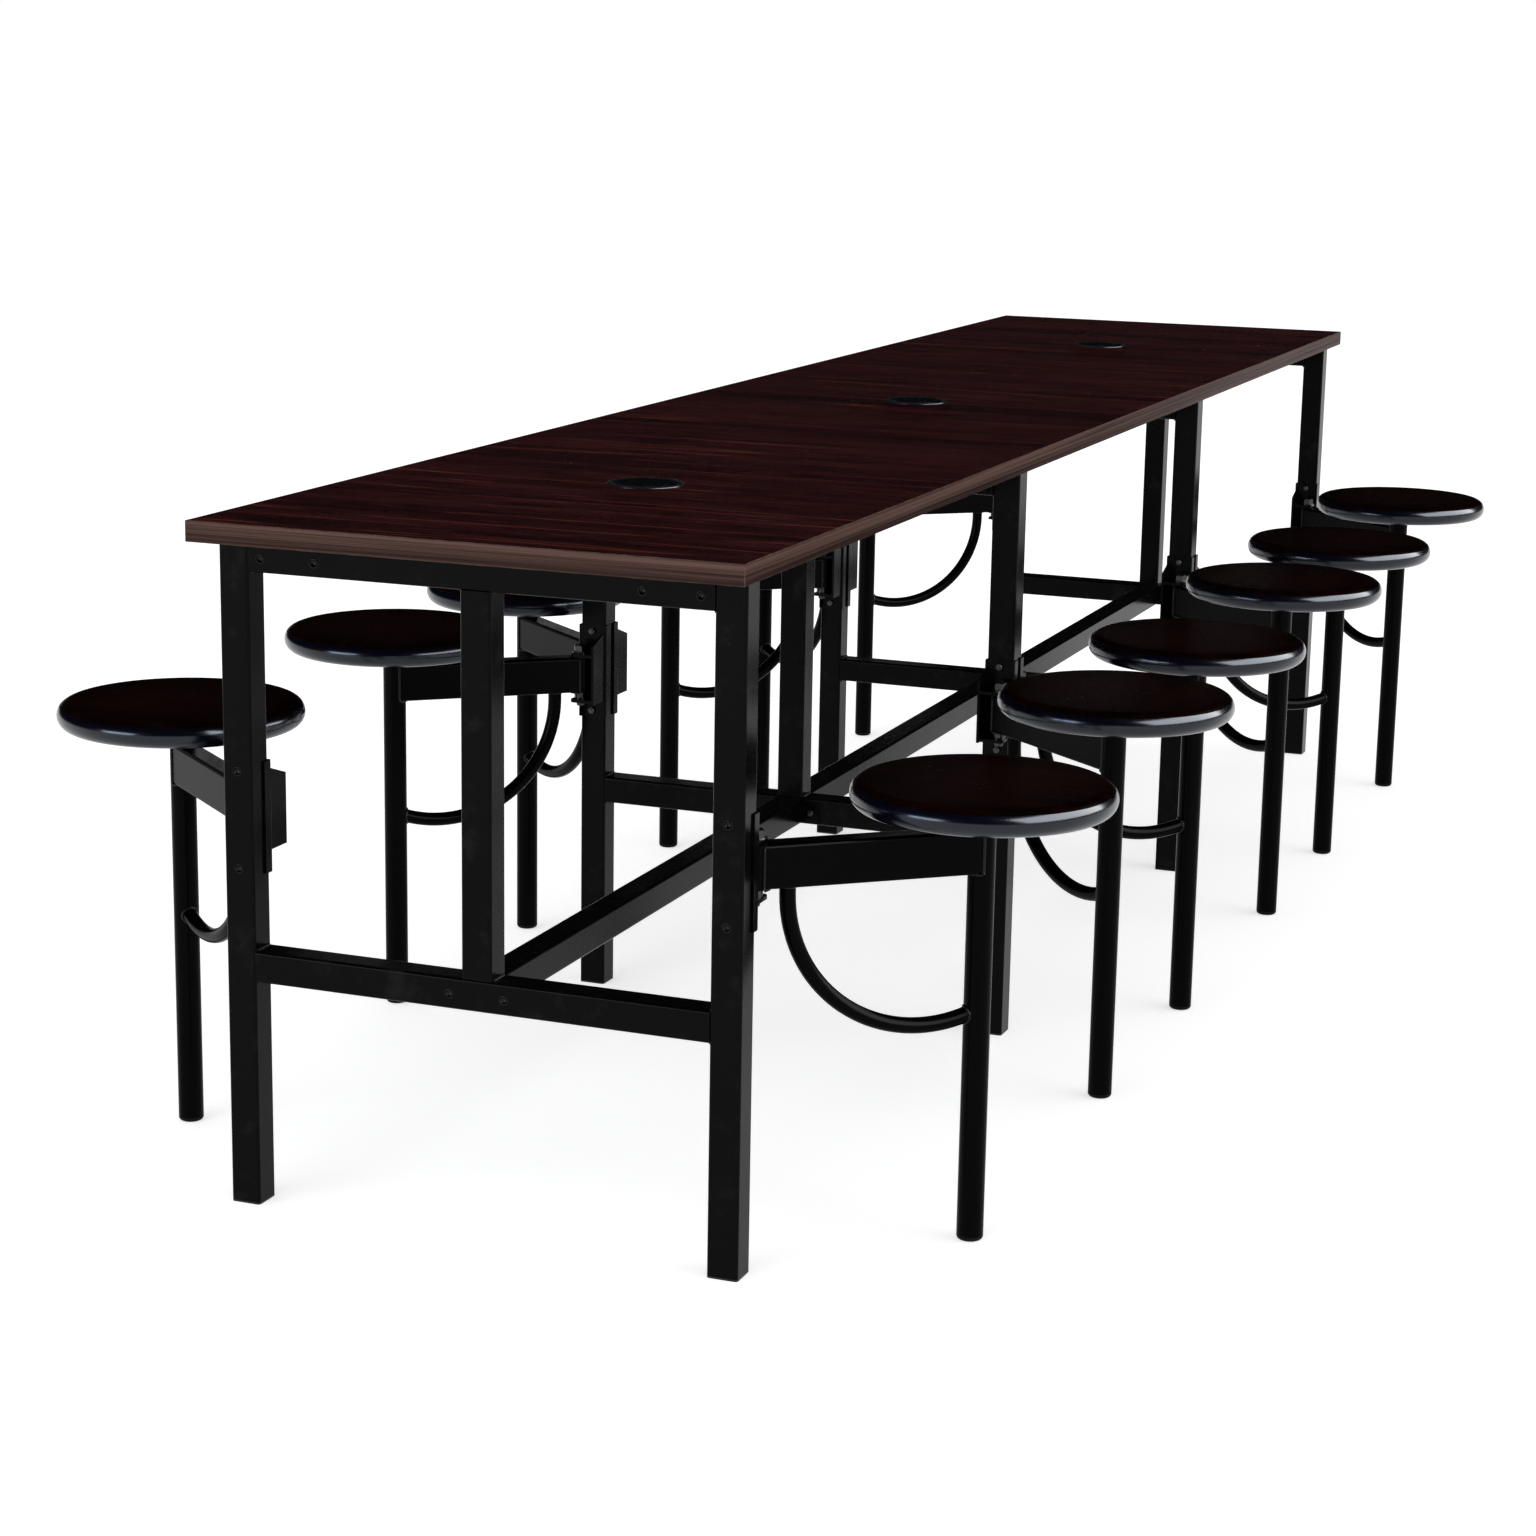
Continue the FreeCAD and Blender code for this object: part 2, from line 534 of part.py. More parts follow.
def through_screw(x, z, index, plate):
    """Bolt through a middle frame's tube and the plate on each face of it."""
    grip = TUBE_HALF + plate
    along = V(0, 1, 0)
    start = V(x, frame_y(index) - grip - NUT_HEIGHT, z)
    shank = Part.makeCylinder(SCREW_RADIUS, 2 * (grip + NUT_HEIGHT), start, along)
    head = hex_prism(NUT_ACROSS_FLATS, NUT_HEIGHT, start, along)
    nut = hex_prism(NUT_ACROSS_FLATS, NUT_HEIGHT, start + along * (2 * grip + NUT_HEIGHT), along)
    return shank.fuse([head, nut])


def frame_screws():
    """Every screw of the frames: one at each hole of each frame."""
    screws = []
    for index in range(FRAME_COUNT):
        make = end_screw if len(seat_faces(index)) == 1 else through_screw
        screws += [make(x, z, index, END_PLATE) for x, z in frame_screw_points()]
        screws += [make(x, z, index, SADDLE_WEB) for x, z in leg_screw_points()]
    return screws


# ---- Sub-parts ---------------------------------------------------------------------------------
save("table_top", [table_top()])
save("edge_band", edge_band())
save("cable_grommets", [piece for place in grommet_places() for piece in grommet(place)])

for index in range(FRAME_COUNT):
    save("frame_%d" % (index + 1), frame(index))

for bay in range(FRAME_COUNT - 1):
    save("lower_beam_%d" % (bay + 1), tie_beam(0, LOWER_RAIL_BOTTOM, bay))
for name, side in SIDES:
    stringers = [tie_beam(side * STRINGER_X, TOP_RAIL_BOTTOM, bay) for bay in range(FRAME_COUNT - 1)]
    save("top_stringers_" + name, [piece for stringer in stringers for piece in stringer])

save("foot_plugs", [foot_plug(side, index) for name, side in SIDES for index in range(FRAME_COUNT)])
save("frame_screws", frame_screws())

bolts = []
for name, side in SIDES:
    seat_number = 0
    for index in range(FRAME_COUNT):
        brackets = [placed(bracket(), side, face, index) for face in seat_faces(index)]
        save("hinge_bracket_%s_%d" % (name, index + 1), brackets)
        for face in seat_faces(index):
            seat_number += 1
            label = "%s_%d" % (name, seat_number)
            bolts += [placed(piece, side, face, index) for piece in hinge_bolt()]
            save("swing_arm_" + label, swung([arm_tube(), knuckle()], side, face, index))
            save("seat_post_" + label, swung(post_pieces() + [brace()], side, face, index))
            save("seat_" + label, swung(seat_pieces(), side, face, index))
save("hinge_bolts", bolts)
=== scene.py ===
import json
import math

import bmesh
import bpy
from mathutils import Matrix, Vector


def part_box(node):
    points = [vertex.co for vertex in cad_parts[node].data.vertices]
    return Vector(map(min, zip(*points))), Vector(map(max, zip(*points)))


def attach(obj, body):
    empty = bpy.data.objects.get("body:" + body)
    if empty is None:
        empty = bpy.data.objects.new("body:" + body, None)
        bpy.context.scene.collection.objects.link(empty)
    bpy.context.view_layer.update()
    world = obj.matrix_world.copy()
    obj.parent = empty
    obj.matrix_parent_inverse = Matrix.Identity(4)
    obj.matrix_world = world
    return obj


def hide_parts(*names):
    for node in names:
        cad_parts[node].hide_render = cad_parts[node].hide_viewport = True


# Long counter-height table with twelve swivel seats on swing-out arms: looks, in metres.
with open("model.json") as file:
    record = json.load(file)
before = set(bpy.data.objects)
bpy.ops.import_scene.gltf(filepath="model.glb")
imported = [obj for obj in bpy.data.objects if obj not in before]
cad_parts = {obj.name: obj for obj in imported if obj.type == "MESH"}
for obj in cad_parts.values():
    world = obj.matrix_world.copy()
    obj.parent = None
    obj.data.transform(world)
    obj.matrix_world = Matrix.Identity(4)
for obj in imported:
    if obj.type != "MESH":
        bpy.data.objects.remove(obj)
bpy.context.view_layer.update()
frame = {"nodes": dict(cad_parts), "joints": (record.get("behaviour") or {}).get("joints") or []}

TABLE = "table"
SIDES = ("right", "left")
SEATS_PER_SIDE = 6
AT_ORIGIN = Matrix.Identity(4)
FRAME_COUNT = 4

# Square tube and the places of its joints
TUBE = 0.044
TUBE_HALF = TUBE / 2
TUBE_WALL = 0.0025
TUBE_FLAT = 0.036
LOWER_RAIL_BOTTOM = 0.321
LOWER_RAIL_TOP = 0.365
TOP_RAIL_BOTTOM = 0.8874
FRAME_WELD = 0.0026

# Screws
PLATE = 0.004
SCREW_RADIUS = 0.003
SCREW_ROOT = 0.001
SCREW_THREAD_END = 0.0010
SCREW_TIP_END = 0.0015
SCREW_TIP_RADIUS = 0.75 * SCREW_RADIUS
SCREW_CUP_RADIUS = 0.0054
SCREW_CUP_DEPTH = 0.0034
SCREW_CUP_FLOOR = 0.001
DISH_REACH = 0.97
DISH_RISE = 0.10
SCREW_LIP_RADIUS = 0.0066
SCREW_LIP_HEIGHT = 0.0008
SCREW_LIP_EASING = 0.0006
SCREW_LIP_EDGE = 0.0003
NUT_ACROSS_FLATS = 0.010
NUT_HEIGHT = 0.005
PLATE_SCREW_X = 0.040
BEAM_SCREW_Z = 0.3425
STRINGER_X = 0.275
STRINGER_SCREW_Z = 0.9064
LEG_SCREW_HEIGHTS = (0.4793, 0.6145)

# Hexagons: chamfer as a part of the height, face as a part of the flats, and how far the flats rise into it
HEXAGON_CHAMFER = 0.16
HEXAGON_FACE = 0.96
FLAT_RISE = 0.8

# Weld beads: ripples of the stacked puddle, a slower drift in width, and thin ends
BEAD_SIDES = 8
BEAD_STEP = 0.0016
RIPPLE = 0.16
RIPPLE_TURN = 2.1
DRIFT = 0.07
DRIFT_TURN = 0.73
DRIFT_START = 1.0
BEAD_END = 0.45

# Hinge bolts
PIN_RADIUS = 0.007
PIN_TIP_RADIUS = 0.8 * PIN_RADIUS
PIN_TIP_HEIGHT = 0.0015
PIN_TAIL_Z = 0.491
LOWER_EAR_TOP = 0.504
SPACER_TOP = 0.5157
WASHER_BOTTOM = 0.5813
WASHER_RADIUS = 0.014
WASHER_THICKNESS = 0.0025
WASHER_EASE_IN = 0.0004
WASHER_EASE_UP = 0.0005
SPACER_RADIUS = 0.0108
HEAD_ACROSS_FLATS = 0.021
HEAD_HEIGHT = 0.011

# Arm, post and brace
ARM_BOTTOM = 0.516
ARM_TOP = 0.576
ARM_HALF_WIDTH = 0.018
KNUCKLE_RADIUS = 0.019
POST_RADIUS = 0.0185
BRACE_RADIUS = 0.011
BRACE_START = 0.045
BRACE_MEETS_POST_Z = 0.3195
BRACE_SLANT = 1.05
ARM_WELD = 0.0023
KNUCKLE_BEAD_DROP = 0.004
KNUCKLE_BEAD_ENDS = (-70, 70)
POST_BEAD_ENDS = (105, 255)
ARC_STEPS = 28
LOOP_STEPS = 36

# Seat: the facing ends and the shell starts at a lip of the groove between them, as (angle, depth)
SEAT_RADIUS = 0.178
SEAT_THICKNESS = 0.038
SEAT_SEGMENTS = 128
FACING_ANGLE = 45.0
GROOVE_ANGLE = 40.0
GROOVE_DEPTH = 0.0009
GROOVE_FLOOR = (FACING_ANGLE - 2.5, GROOVE_DEPTH)
FACING_LIP = (FACING_ANGLE - 1.5, 0.7 * GROOVE_DEPTH)
SHELL_LIP = (GROOVE_ANGLE + 1.0, 0.6 * GROOVE_DEPTH)
FACING_RINGS = (0.04, 0.10, 0.14)
FACING_STEPS = 10
UNDERSIDE_RING = 0.10
SHELL_STEPS = 36

# Seat's spindle, its plate, the fillet between them as (out, down), and the plate's round-headed screws
SEAT_PLATE_RADIUS = 0.055
SEAT_PLATE_THICKNESS = 0.0025
SEAT_PLATE_EASING = 0.0006
SPINDLE_RADIUS = 0.0125
SPINDLE_LENGTH = 0.050
SPINDLE_EASING = 0.001
COLLAR_RADIUS = 0.015
COLLAR_BOTTOM = 0.5953
COLLAR_FILLET = ((0.0, 0.0016), (0.0006, 0.0006), (0.0018, 0.0))
SEAT_SCREW_COUNT = 4
SEAT_SCREW_CIRCLE = 0.040
SEAT_SCREW_HEAD = ((0.0048, 0.0), (0.0046, 0.0010), (0.0034, 0.0020), (0.0018, 0.0025),
                   (0.0016, 0.0014), (0, 0.0012))

# Top: the cap's levels run inwards from its rolled edge over a lip to a shallow dish, as (inset, height)
BAND_THICKNESS = 0.002
BAND_EASING = 0.0006
GROMMET_COUNT = 3
GROMMET_RIM_RADIUS = 0.0565
GROMMET_HOLE_RADIUS = 0.0497
GROMMET_INNER_RADIUS = 0.0462
GROMMET_RIM_HEIGHT = 0.002
GROMMET_REBATE = 0.001
GROMMET_SLEEVE_DEPTH = 0.022
CROWN_STEPS = 12
CAP_RADIUS = 0.0458
CAP_THICKNESS = 0.003
CAP_LEVELS = ((0.0, -CAP_THICKNESS / 2), (0.0, 0.0008), (0.0007, CAP_THICKNESS / 2),
              (0.0035, CAP_THICKNESS / 2), (0.0042, 0.0011), (0.0075, 0.0009))
CAP_STEPS = 64
NOTCH_RADIUS = 0.012
NOTCH_STEPS = 14
NOTCH_MARGIN = 0.04


def middle(node):
    """Centre of a CAD node's box."""
    low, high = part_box(node)
    return (low + high) / 2


TOP_LOW, TOP_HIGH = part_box("edge_band")
LEG_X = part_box("frame_1")[1].x - TUBE_HALF
FRAME_YS = [middle("frame_%d" % (k + 1)).y for k in range(FRAME_COUNT)]


def labels():
    """Names of the twelve seat places."""
    return ["%s_%d" % (side, n + 1) for side in SIDES for n in range(SEATS_PER_SIDE)]


# ---- Mesh helpers ------------------------------------------------------------------------------
def piece(name, mesh_maker, material, body, crease=35.0, place=AT_ORIGIN):
    """New object from a bmesh, smooth except at creases, set in its place and riding on a body."""
    bm = bmesh.new()
    mesh_maker(bm)
    bmesh.ops.recalc_face_normals(bm, faces=bm.faces)
    mesh = bpy.data.meshes.new(name)
    bm.to_mesh(mesh)
    bm.free()
    mesh.polygons.foreach_set("use_smooth", [True] * len(mesh.polygons))
    mesh.set_sharp_from_angle(angle=math.radians(crease))
    mesh.materials.append(material)
    obj = bpy.data.objects.new(name, mesh)
    bpy.context.scene.collection.objects.link(obj)
    obj.matrix_world = place
    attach(obj, body)
    return obj


def axis_frame(origin, direction):
    """Matrix that carries local Z onto a direction at an origin."""
    turn = Vector((0, 0, 1)).rotation_difference(Vector(direction)).to_matrix().to_4x4()
    return Matrix.Translation(origin) @ turn


def ring(bm, radius, height, place, sides):
    """Circle of vertices about local Z."""
    angles = [math.tau * k / sides for k in range(sides)]
    return [bm.verts.new(place @ Vector((radius * math.cos(a), radius * math.sin(a), height)))
            for a in angles]


def skin(bm, rings, closed=False):
    """Faces from ring to ring, and over both ends unless the run is closed."""
    spans = list(zip(rings, rings[1:])) + ([(rings[-1], rings[0])] if closed else [])
    for lower, upper in spans:
        for k in range(len(lower)):
            n = (k + 1) % len(lower)
            bm.faces.new((lower[k], lower[n], upper[n], upper[k]))
    if not closed:
        bm.faces.new(list(reversed(rings[0])))
        bm.faces.new(rings[-1])


def turned(bm, profile, place, segments):
    """Revolve (radius, height) points about local Z; a radius of 0 closes the end."""
    rings = []
    for radius, height in profile:
        if radius == 0:
            rings.append([bm.verts.new(place @ Vector((0, 0, height)))])
        else:
            rings.append(ring(bm, radius, height, place, segments))
    for lower, upper in zip(rings, rings[1:]):
        for k in range(segments):
            n = (k + 1) % segments
            if len(lower) == 1:
                bm.faces.new((lower[0], upper[n], upper[k]))
            elif len(upper) == 1:
                bm.faces.new((lower[k], lower[n], upper[0]))
            else:
                bm.faces.new((lower[k], lower[n], upper[n], upper[k]))


def hexagon_head(bm, across_flats, height, place):
    """Hexagon chamfered to a circle, which cuts its corners lower than its flats."""
    flat = across_flats / 2
    corner = flat / math.cos(math.radians(30))
    outline = [(corner if k % 2 == 0 else flat, math.radians(30 * k)) for k in range(12)]
    drop = HEXAGON_CHAMFER * height
    shoulder = height - drop
    levels = [[(r, a, 0.0) for r, a in outline],
              [(r, a, shoulder + (FLAT_RISE * drop if r == flat else 0.0)) for r, a in outline],
              [(HEXAGON_FACE * flat, a, height) for r, a in outline]]
    skin(bm, [[bm.verts.new(place @ Vector((r * math.cos(a), r * math.sin(a), z))) for r, a, z in level]
              for level in levels])


def bead(bm, points, radius, closed=False):
    """Weld bead along points, swollen and pinched as the puddle was stacked."""
    count = len(points)
    rings = []
    for k, point in enumerate(points):
        before = points[k - 1] if (k > 0 or closed) else point
        after = points[(k + 1) % count] if (k < count - 1 or closed) else point
        ripple = RIPPLE * math.sin(k * RIPPLE_TURN)
        drift = DRIFT * math.sin(k * DRIFT_TURN + DRIFT_START)
        swell = radius * (1.0 + ripple + drift)
        if not closed and k in (0, count - 1):
            swell *= BEAD_END
        rings.append(ring(bm, swell, 0, axis_frame(point, (after - before).normalized()), BEAD_SIDES))
    skin(bm, rings, closed)


def line_points(start, end):
    """Points of a straight bead, evenly stepped from start to end."""
    start, end = Vector(start), Vector(end)
    count = max(2, int((end - start).length / BEAD_STEP))
    return [start.lerp(end, k / count) for k in range(count + 1)]


def arc(centre, radius, start, end, steps):
    """(r, z) points of an arc, angles in degrees from the outward direction."""
    return [(centre[0] + radius * math.cos(math.radians(start + (end - start) * k / steps)),
             centre[1] + radius * math.sin(math.radians(start + (end - start) * k / steps)))
            for k in range(steps + 1)]


# ---- Node helpers ------------------------------------------------------------------------------
def add_node(tree, kind, inputs=None, **settings):
    """Node with its settings, and its inputs set to values or linked to sockets."""
    node = tree.nodes.new(kind)
    for name, value in settings.items():
        setattr(node, name, value)
    for key, value in (inputs or {}).items():
        if isinstance(value, bpy.types.NodeSocket):
            tree.links.new(value, node.inputs[key])
        else:
            node.inputs[key].default_value = value
    return node


def maths(tree, operation, a, b=0.0, clamp=False):
    """Result of one Math node."""
    return add_node(tree, "ShaderNodeMath", {0: a, 1: b}, operation=operation, use_clamp=clamp).outputs[0]


def spread(tree, value, low, high, to_low=0.0, to_high=1.0):
    """Value carried smoothly from one range to another."""
    inputs = {"Value": value, "From Min": low, "From Max": high, "To Min": to_low, "To Max": to_high}
    return add_node(tree, "ShaderNodeMapRange", inputs, interpolation_type="SMOOTHSTEP").outputs["Result"]


def mixed(tree, factor, a, b):
    """Two colours mixed by a factor."""
    return add_node(tree, "ShaderNodeMix", {0: factor, 6: a, 7: b}, data_type="RGBA").outputs[2]


def noise(tree, vector, scale=1.0, detail=2.0, roughness=0.5):
    """Value of a noise texture."""
    inputs = {"Vector": vector, "Scale": scale, "Detail": detail, "Roughness": roughness}
    return add_node(tree, "ShaderNodeTexNoise", inputs).outputs[0]


def new_group(name, inputs, outputs):
    """Empty shader group with named sockets; returns the tree, its inputs and its output node."""
    tree = bpy.data.node_groups.new(name, "ShaderNodeTree")
    for label, kind, default in inputs:
        socket = tree.interface.new_socket(name=label, in_out="INPUT", socket_type=kind)
        socket.default_value = default
    for label, kind in outputs:
        tree.interface.new_socket(name=label, in_out="OUTPUT", socket_type=kind)
    return tree, tree.nodes.new("NodeGroupInput").outputs, tree.nodes.new("NodeGroupOutput")


def use_group(tree, group, values):
    """Outputs of a group that is placed in a material with its own values."""
    return add_node(tree, "ShaderNodeGroup", values, node_tree=group).outputs


FLOAT = "NodeSocketFloat"
COLOR = "NodeSocketColor"


def wood_grain_group():
    """Straight grain: dark bands edged with a thin light line, slow figure, streaks and short pores."""
    tree, given, out = new_group(
        "Wood Grain",
        [("Along", FLOAT, 0.0), ("Across", FLOAT, 0.0), ("Fineness", FLOAT, 1.0), ("Wander", FLOAT, 0.02),
         ("Dark", COLOR, (0, 0, 0, 1)), ("Body", COLOR, (0, 0, 0, 1)), ("Vein", COLOR, (0, 0, 0, 1)),
         ("Vein Amount", FLOAT, 0.5), ("Band Amount", FLOAT, 0.5)],
        [("Color", COLOR), ("Height", FLOAT)])
    drift = noise(tree, add_node(tree, "ShaderNodeCombineXYZ", {
        "X": maths(tree, "MULTIPLY", given["Along"], 1.6),
        "Y": maths(tree, "MULTIPLY", given["Across"], 4.0)}).outputs[0])
    shift = maths(tree, "MULTIPLY", maths(tree, "SUBTRACT", drift, 0.5), given["Wander"])
    across = maths(tree, "MULTIPLY", maths(tree, "ADD", given["Across"], shift), given["Fineness"])

    def grain(along_scale, across_scale, detail, roughness=0.5):
        place = add_node(tree, "ShaderNodeCombineXYZ", {
            "X": maths(tree, "MULTIPLY", given["Along"], along_scale),
            "Y": maths(tree, "MULTIPLY", across, across_scale)}).outputs[0]
        return noise(tree, place, detail=detail, roughness=roughness)

    growth = grain(0.30, 6.5, 2.0)
    band = maths(tree, "MULTIPLY", spread(tree, growth, 0.545, 0.60), given["Band Amount"])
    streak = spread(tree, grain(9.0, 130.0, 3.0, 0.7), 0.36, 0.62)
    figure = spread(tree, grain(2.6, 30.0, 2.0), 0.36, 0.62)
    speckle = maths(tree, "SUBTRACT", grain(30.0, 210.0, 2.0), 0.5)
    line = spread(tree, maths(tree, "ABSOLUTE", maths(tree, "SUBTRACT", growth, 0.54)), 0.0, 0.010, 1.0, 0.0)
    scratch = spread(tree, grain(6.0, 150.0, 1.0), 0.66, 0.74)
    pores = spread(tree, grain(34.0, 900.0, 1.0), 0.62, 0.74)
    board = spread(tree, grain(0.7, 13.0, 2.0), 0.36, 0.64, 0.72, 1.20)

    tone = maths(tree, "ADD", maths(tree, "MULTIPLY", streak, 0.42), maths(tree, "MULTIPLY", figure, 0.30))
    tone = maths(tree, "ADD", maths(tree, "ADD", tone, 0.10), maths(tree, "MULTIPLY", speckle, 0.75))
    tone = maths(tree, "MULTIPLY", tone, board)
    tone = maths(tree, "MULTIPLY", tone, maths(tree, "SUBTRACT", 1.0, band), clamp=True)
    light = maths(tree, "MAXIMUM", maths(tree, "MULTIPLY", line, spread(tree, figure, 0.2, 0.7)), scratch)
    color = mixed(tree, tone, given["Dark"], given["Body"])
    veins = maths(tree, "MULTIPLY", light, given["Vein Amount"], clamp=True)
    color = mixed(tree, veins, color, given["Vein"])
    color = mixed(tree, maths(tree, "MULTIPLY", pores, 0.55), color, given["Dark"])
    height = maths(tree, "SUBTRACT", maths(tree, "MULTIPLY", streak, 0.5), pores)
    tree.links.new(color, out.inputs["Color"])
    tree.links.new(height, out.inputs["Height"])
    return tree


def paint_texture_group():
    """Skin of sprayed paint: fine pimples on a slow ripple."""
    tree, given, out = new_group("Paint Texture", [("Grain Size", FLOAT, 0.0012), ("Ripple", FLOAT, 0.5)],
                                 [("Height", FLOAT)])
    place = add_node(tree, "ShaderNodeTexCoord").outputs["Object"]
    scale = maths(tree, "DIVIDE", 1.0, given["Grain Size"])
    pimples = noise(tree, place, scale, detail=1.0)
    ripple = noise(tree, place, 160.0, detail=1.0)
    tree.links.new(maths(tree, "ADD", pimples, maths(tree, "MULTIPLY", ripple, given["Ripple"])),
                   out.inputs["Height"])
    return tree


def handling_marks_group():
    """Soft smudges and wiped dust where hands and cloths have been."""
    tree, given, out = new_group("Handling Marks", [("Size", FLOAT, 0.06), ("Cover", FLOAT, 0.5)],
                                 [("Mask", FLOAT)])
    place = add_node(tree, "ShaderNodeTexCoord").outputs["Object"]
    scale = maths(tree, "DIVIDE", 1.0, given["Size"])
    cloud = noise(tree, place, scale, detail=5.0, roughness=0.62)
    threshold = maths(tree, "SUBTRACT", 0.78, maths(tree, "MULTIPLY", given["Cover"], 0.4))
    mask = spread(tree, cloud, threshold, maths(tree, "ADD", threshold, 0.22))
    tree.links.new(mask, out.inputs["Mask"])
    return tree


def edge_wear_group():
    """Outer edges where the finish has thinned, broken up along their length."""
    tree, given, out = new_group("Edge Wear", [("Width", FLOAT, 0.001), ("Amount", FLOAT, 0.5)],
                                 [("Mask", FLOAT)])
    rounded = add_node(tree, "ShaderNodeBevel", {"Radius": given["Width"]}, samples=4).outputs[0]
    surface = add_node(tree, "ShaderNodeNewGeometry").outputs["Normal"]
    lean = add_node(tree, "ShaderNodeVectorMath", {0: rounded, 1: surface}, operation="DOT_PRODUCT")
    edge = spread(tree, lean.outputs["Value"], 0.995, 0.88)
    place = add_node(tree, "ShaderNodeTexCoord").outputs["Object"]
    broken = spread(tree, noise(tree, place, 45.0, detail=3.0), 0.35, 0.65)
    tree.links.new(maths(tree, "MULTIPLY", maths(tree, "MULTIPLY", edge, broken), given["Amount"]),
                   out.inputs["Mask"])
    return tree


WOOD_GRAIN = wood_grain_group()
PAINT_TEXTURE = paint_texture_group()
HANDLING_MARKS = handling_marks_group()
EDGE_WEAR = edge_wear_group()


def new_material(name, **constants):
    """Material with one Principled shader, whose constant sockets are set here."""
    material = bpy.data.materials.new(name)
    material.use_nodes = True
    tree = material.node_tree
    tree.nodes.clear()
    shader = tree.nodes.new("ShaderNodeBsdfPrincipled")
    output = tree.nodes.new("ShaderNodeOutputMaterial")
    tree.links.new(shader.outputs[0], output.inputs["Surface"])
    for key, value in constants.items():
        shader.inputs[key.replace("_", " ")].default_value = value
    return material, tree, shader


def finish_with(tree, shader, color, roughness, height, depth):
    """Link colour, roughness and a bump of a given depth to the shader."""
    tree.links.new(color, shader.inputs["Base Color"])
    tree.links.new(roughness, shader.inputs["Roughness"])
    bump = add_node(tree, "ShaderNodeBump", {"Height": height, "Strength": 1.0, "Distance": depth})
    tree.links.new(bump.outputs[0], shader.inputs["Normal"])


def place_axes(tree):
    """X, Y and Z of the surface in the piece's own space."""
    place = add_node(tree, "ShaderNodeTexCoord").outputs["Object"]
    return add_node(tree, "ShaderNodeSeparateXYZ", {0: place}).outputs


# ---- Materials ---------------------------------------------------------------------------------
def top_laminate():
    """Dark red-brown wood laminate with its grain across the table, and a black backing sheet."""
    material, tree, shader = new_material("top_laminate", Specular_IOR_Level=0.003)
    axes = place_axes(tree)
    grain = use_group(tree, WOOD_GRAIN, {
        "Along": axes["X"], "Across": axes["Y"], "Fineness": 1.0, "Wander": 0.03,
        "Dark": (0.0042, 0.0014, 0.0020, 1), "Body": (0.046, 0.0105, 0.0105, 1),
        "Vein": (0.100, 0.022, 0.014, 1), "Vein Amount": 0.65, "Band Amount": 0.62})
    marks = use_group(tree, HANDLING_MARKS, {"Size": 0.16, "Cover": 0.55})["Mask"]
    normal = add_node(tree, "ShaderNodeNewGeometry").outputs["Normal"]
    facing = add_node(tree, "ShaderNodeSeparateXYZ", {0: normal}).outputs["Z"]
    under = spread(tree, facing, -0.4, -0.6)
    color = mixed(tree, under, grain["Color"], (0.008, 0.007, 0.007, 1))
    roughness = spread(tree, marks, 0.0, 1.0, 0.24, 0.32)
    finish_with(tree, shader, color, roughness, grain["Height"], 0.00004)
    return material


def edge_banding():
    """Taupe wood band: the grain runs along each strip, and its eased edges are paler."""
    material, tree, shader = new_material("edge_banding", Specular_IOR_Level=0.002)
    axes = place_axes(tree)
    grain = use_group(tree, WOOD_GRAIN, {
        "Along": maths(tree, "MULTIPLY", maths(tree, "ADD", axes["X"], axes["Y"]), 0.05), "Across": axes["Z"],
        "Fineness": 1.4, "Wander": 0.0015,
        "Dark": (0.006, 0.0032, 0.0028, 1), "Body": (0.160, 0.092, 0.077, 1),
        "Vein": (0.15, 0.085, 0.070, 1), "Vein Amount": 0.25, "Band Amount": 0.12})
    wear = use_group(tree, EDGE_WEAR, {"Width": 0.0018, "Amount": 0.9})["Mask"]
    color = mixed(tree, wear, grain["Color"], (0.22, 0.15, 0.13, 1))
    roughness = spread(tree, grain["Height"], -1.0, 0.5, 0.34, 0.26)
    finish_with(tree, shader, color, roughness, grain["Height"], 0.00005)
    return material


def powder_coat():
    """Satin black powder coat of the frames and brackets."""
    material, tree, shader = new_material("powder_coat", Specular_IOR_Level=0.052)
    marks = use_group(tree, HANDLING_MARKS, {"Size": 0.045, "Cover": 0.6})["Mask"]
    wear = use_group(tree, EDGE_WEAR, {"Width": 0.0022, "Amount": 0.5})["Mask"]
    color = mixed(tree, marks, (0.0016, 0.0016, 0.0016, 1), (0.0085, 0.0083, 0.0081, 1))
    color = mixed(tree, wear, color, (0.020, 0.0195, 0.019, 1))
    texture = use_group(tree, PAINT_TEXTURE, {"Grain Size": 0.0013, "Ripple": 0.8})["Height"]
    finish_with(tree, shader, color, spread(tree, marks, 0.0, 1.0, 0.20, 0.27), texture, 0.00004)
    return material


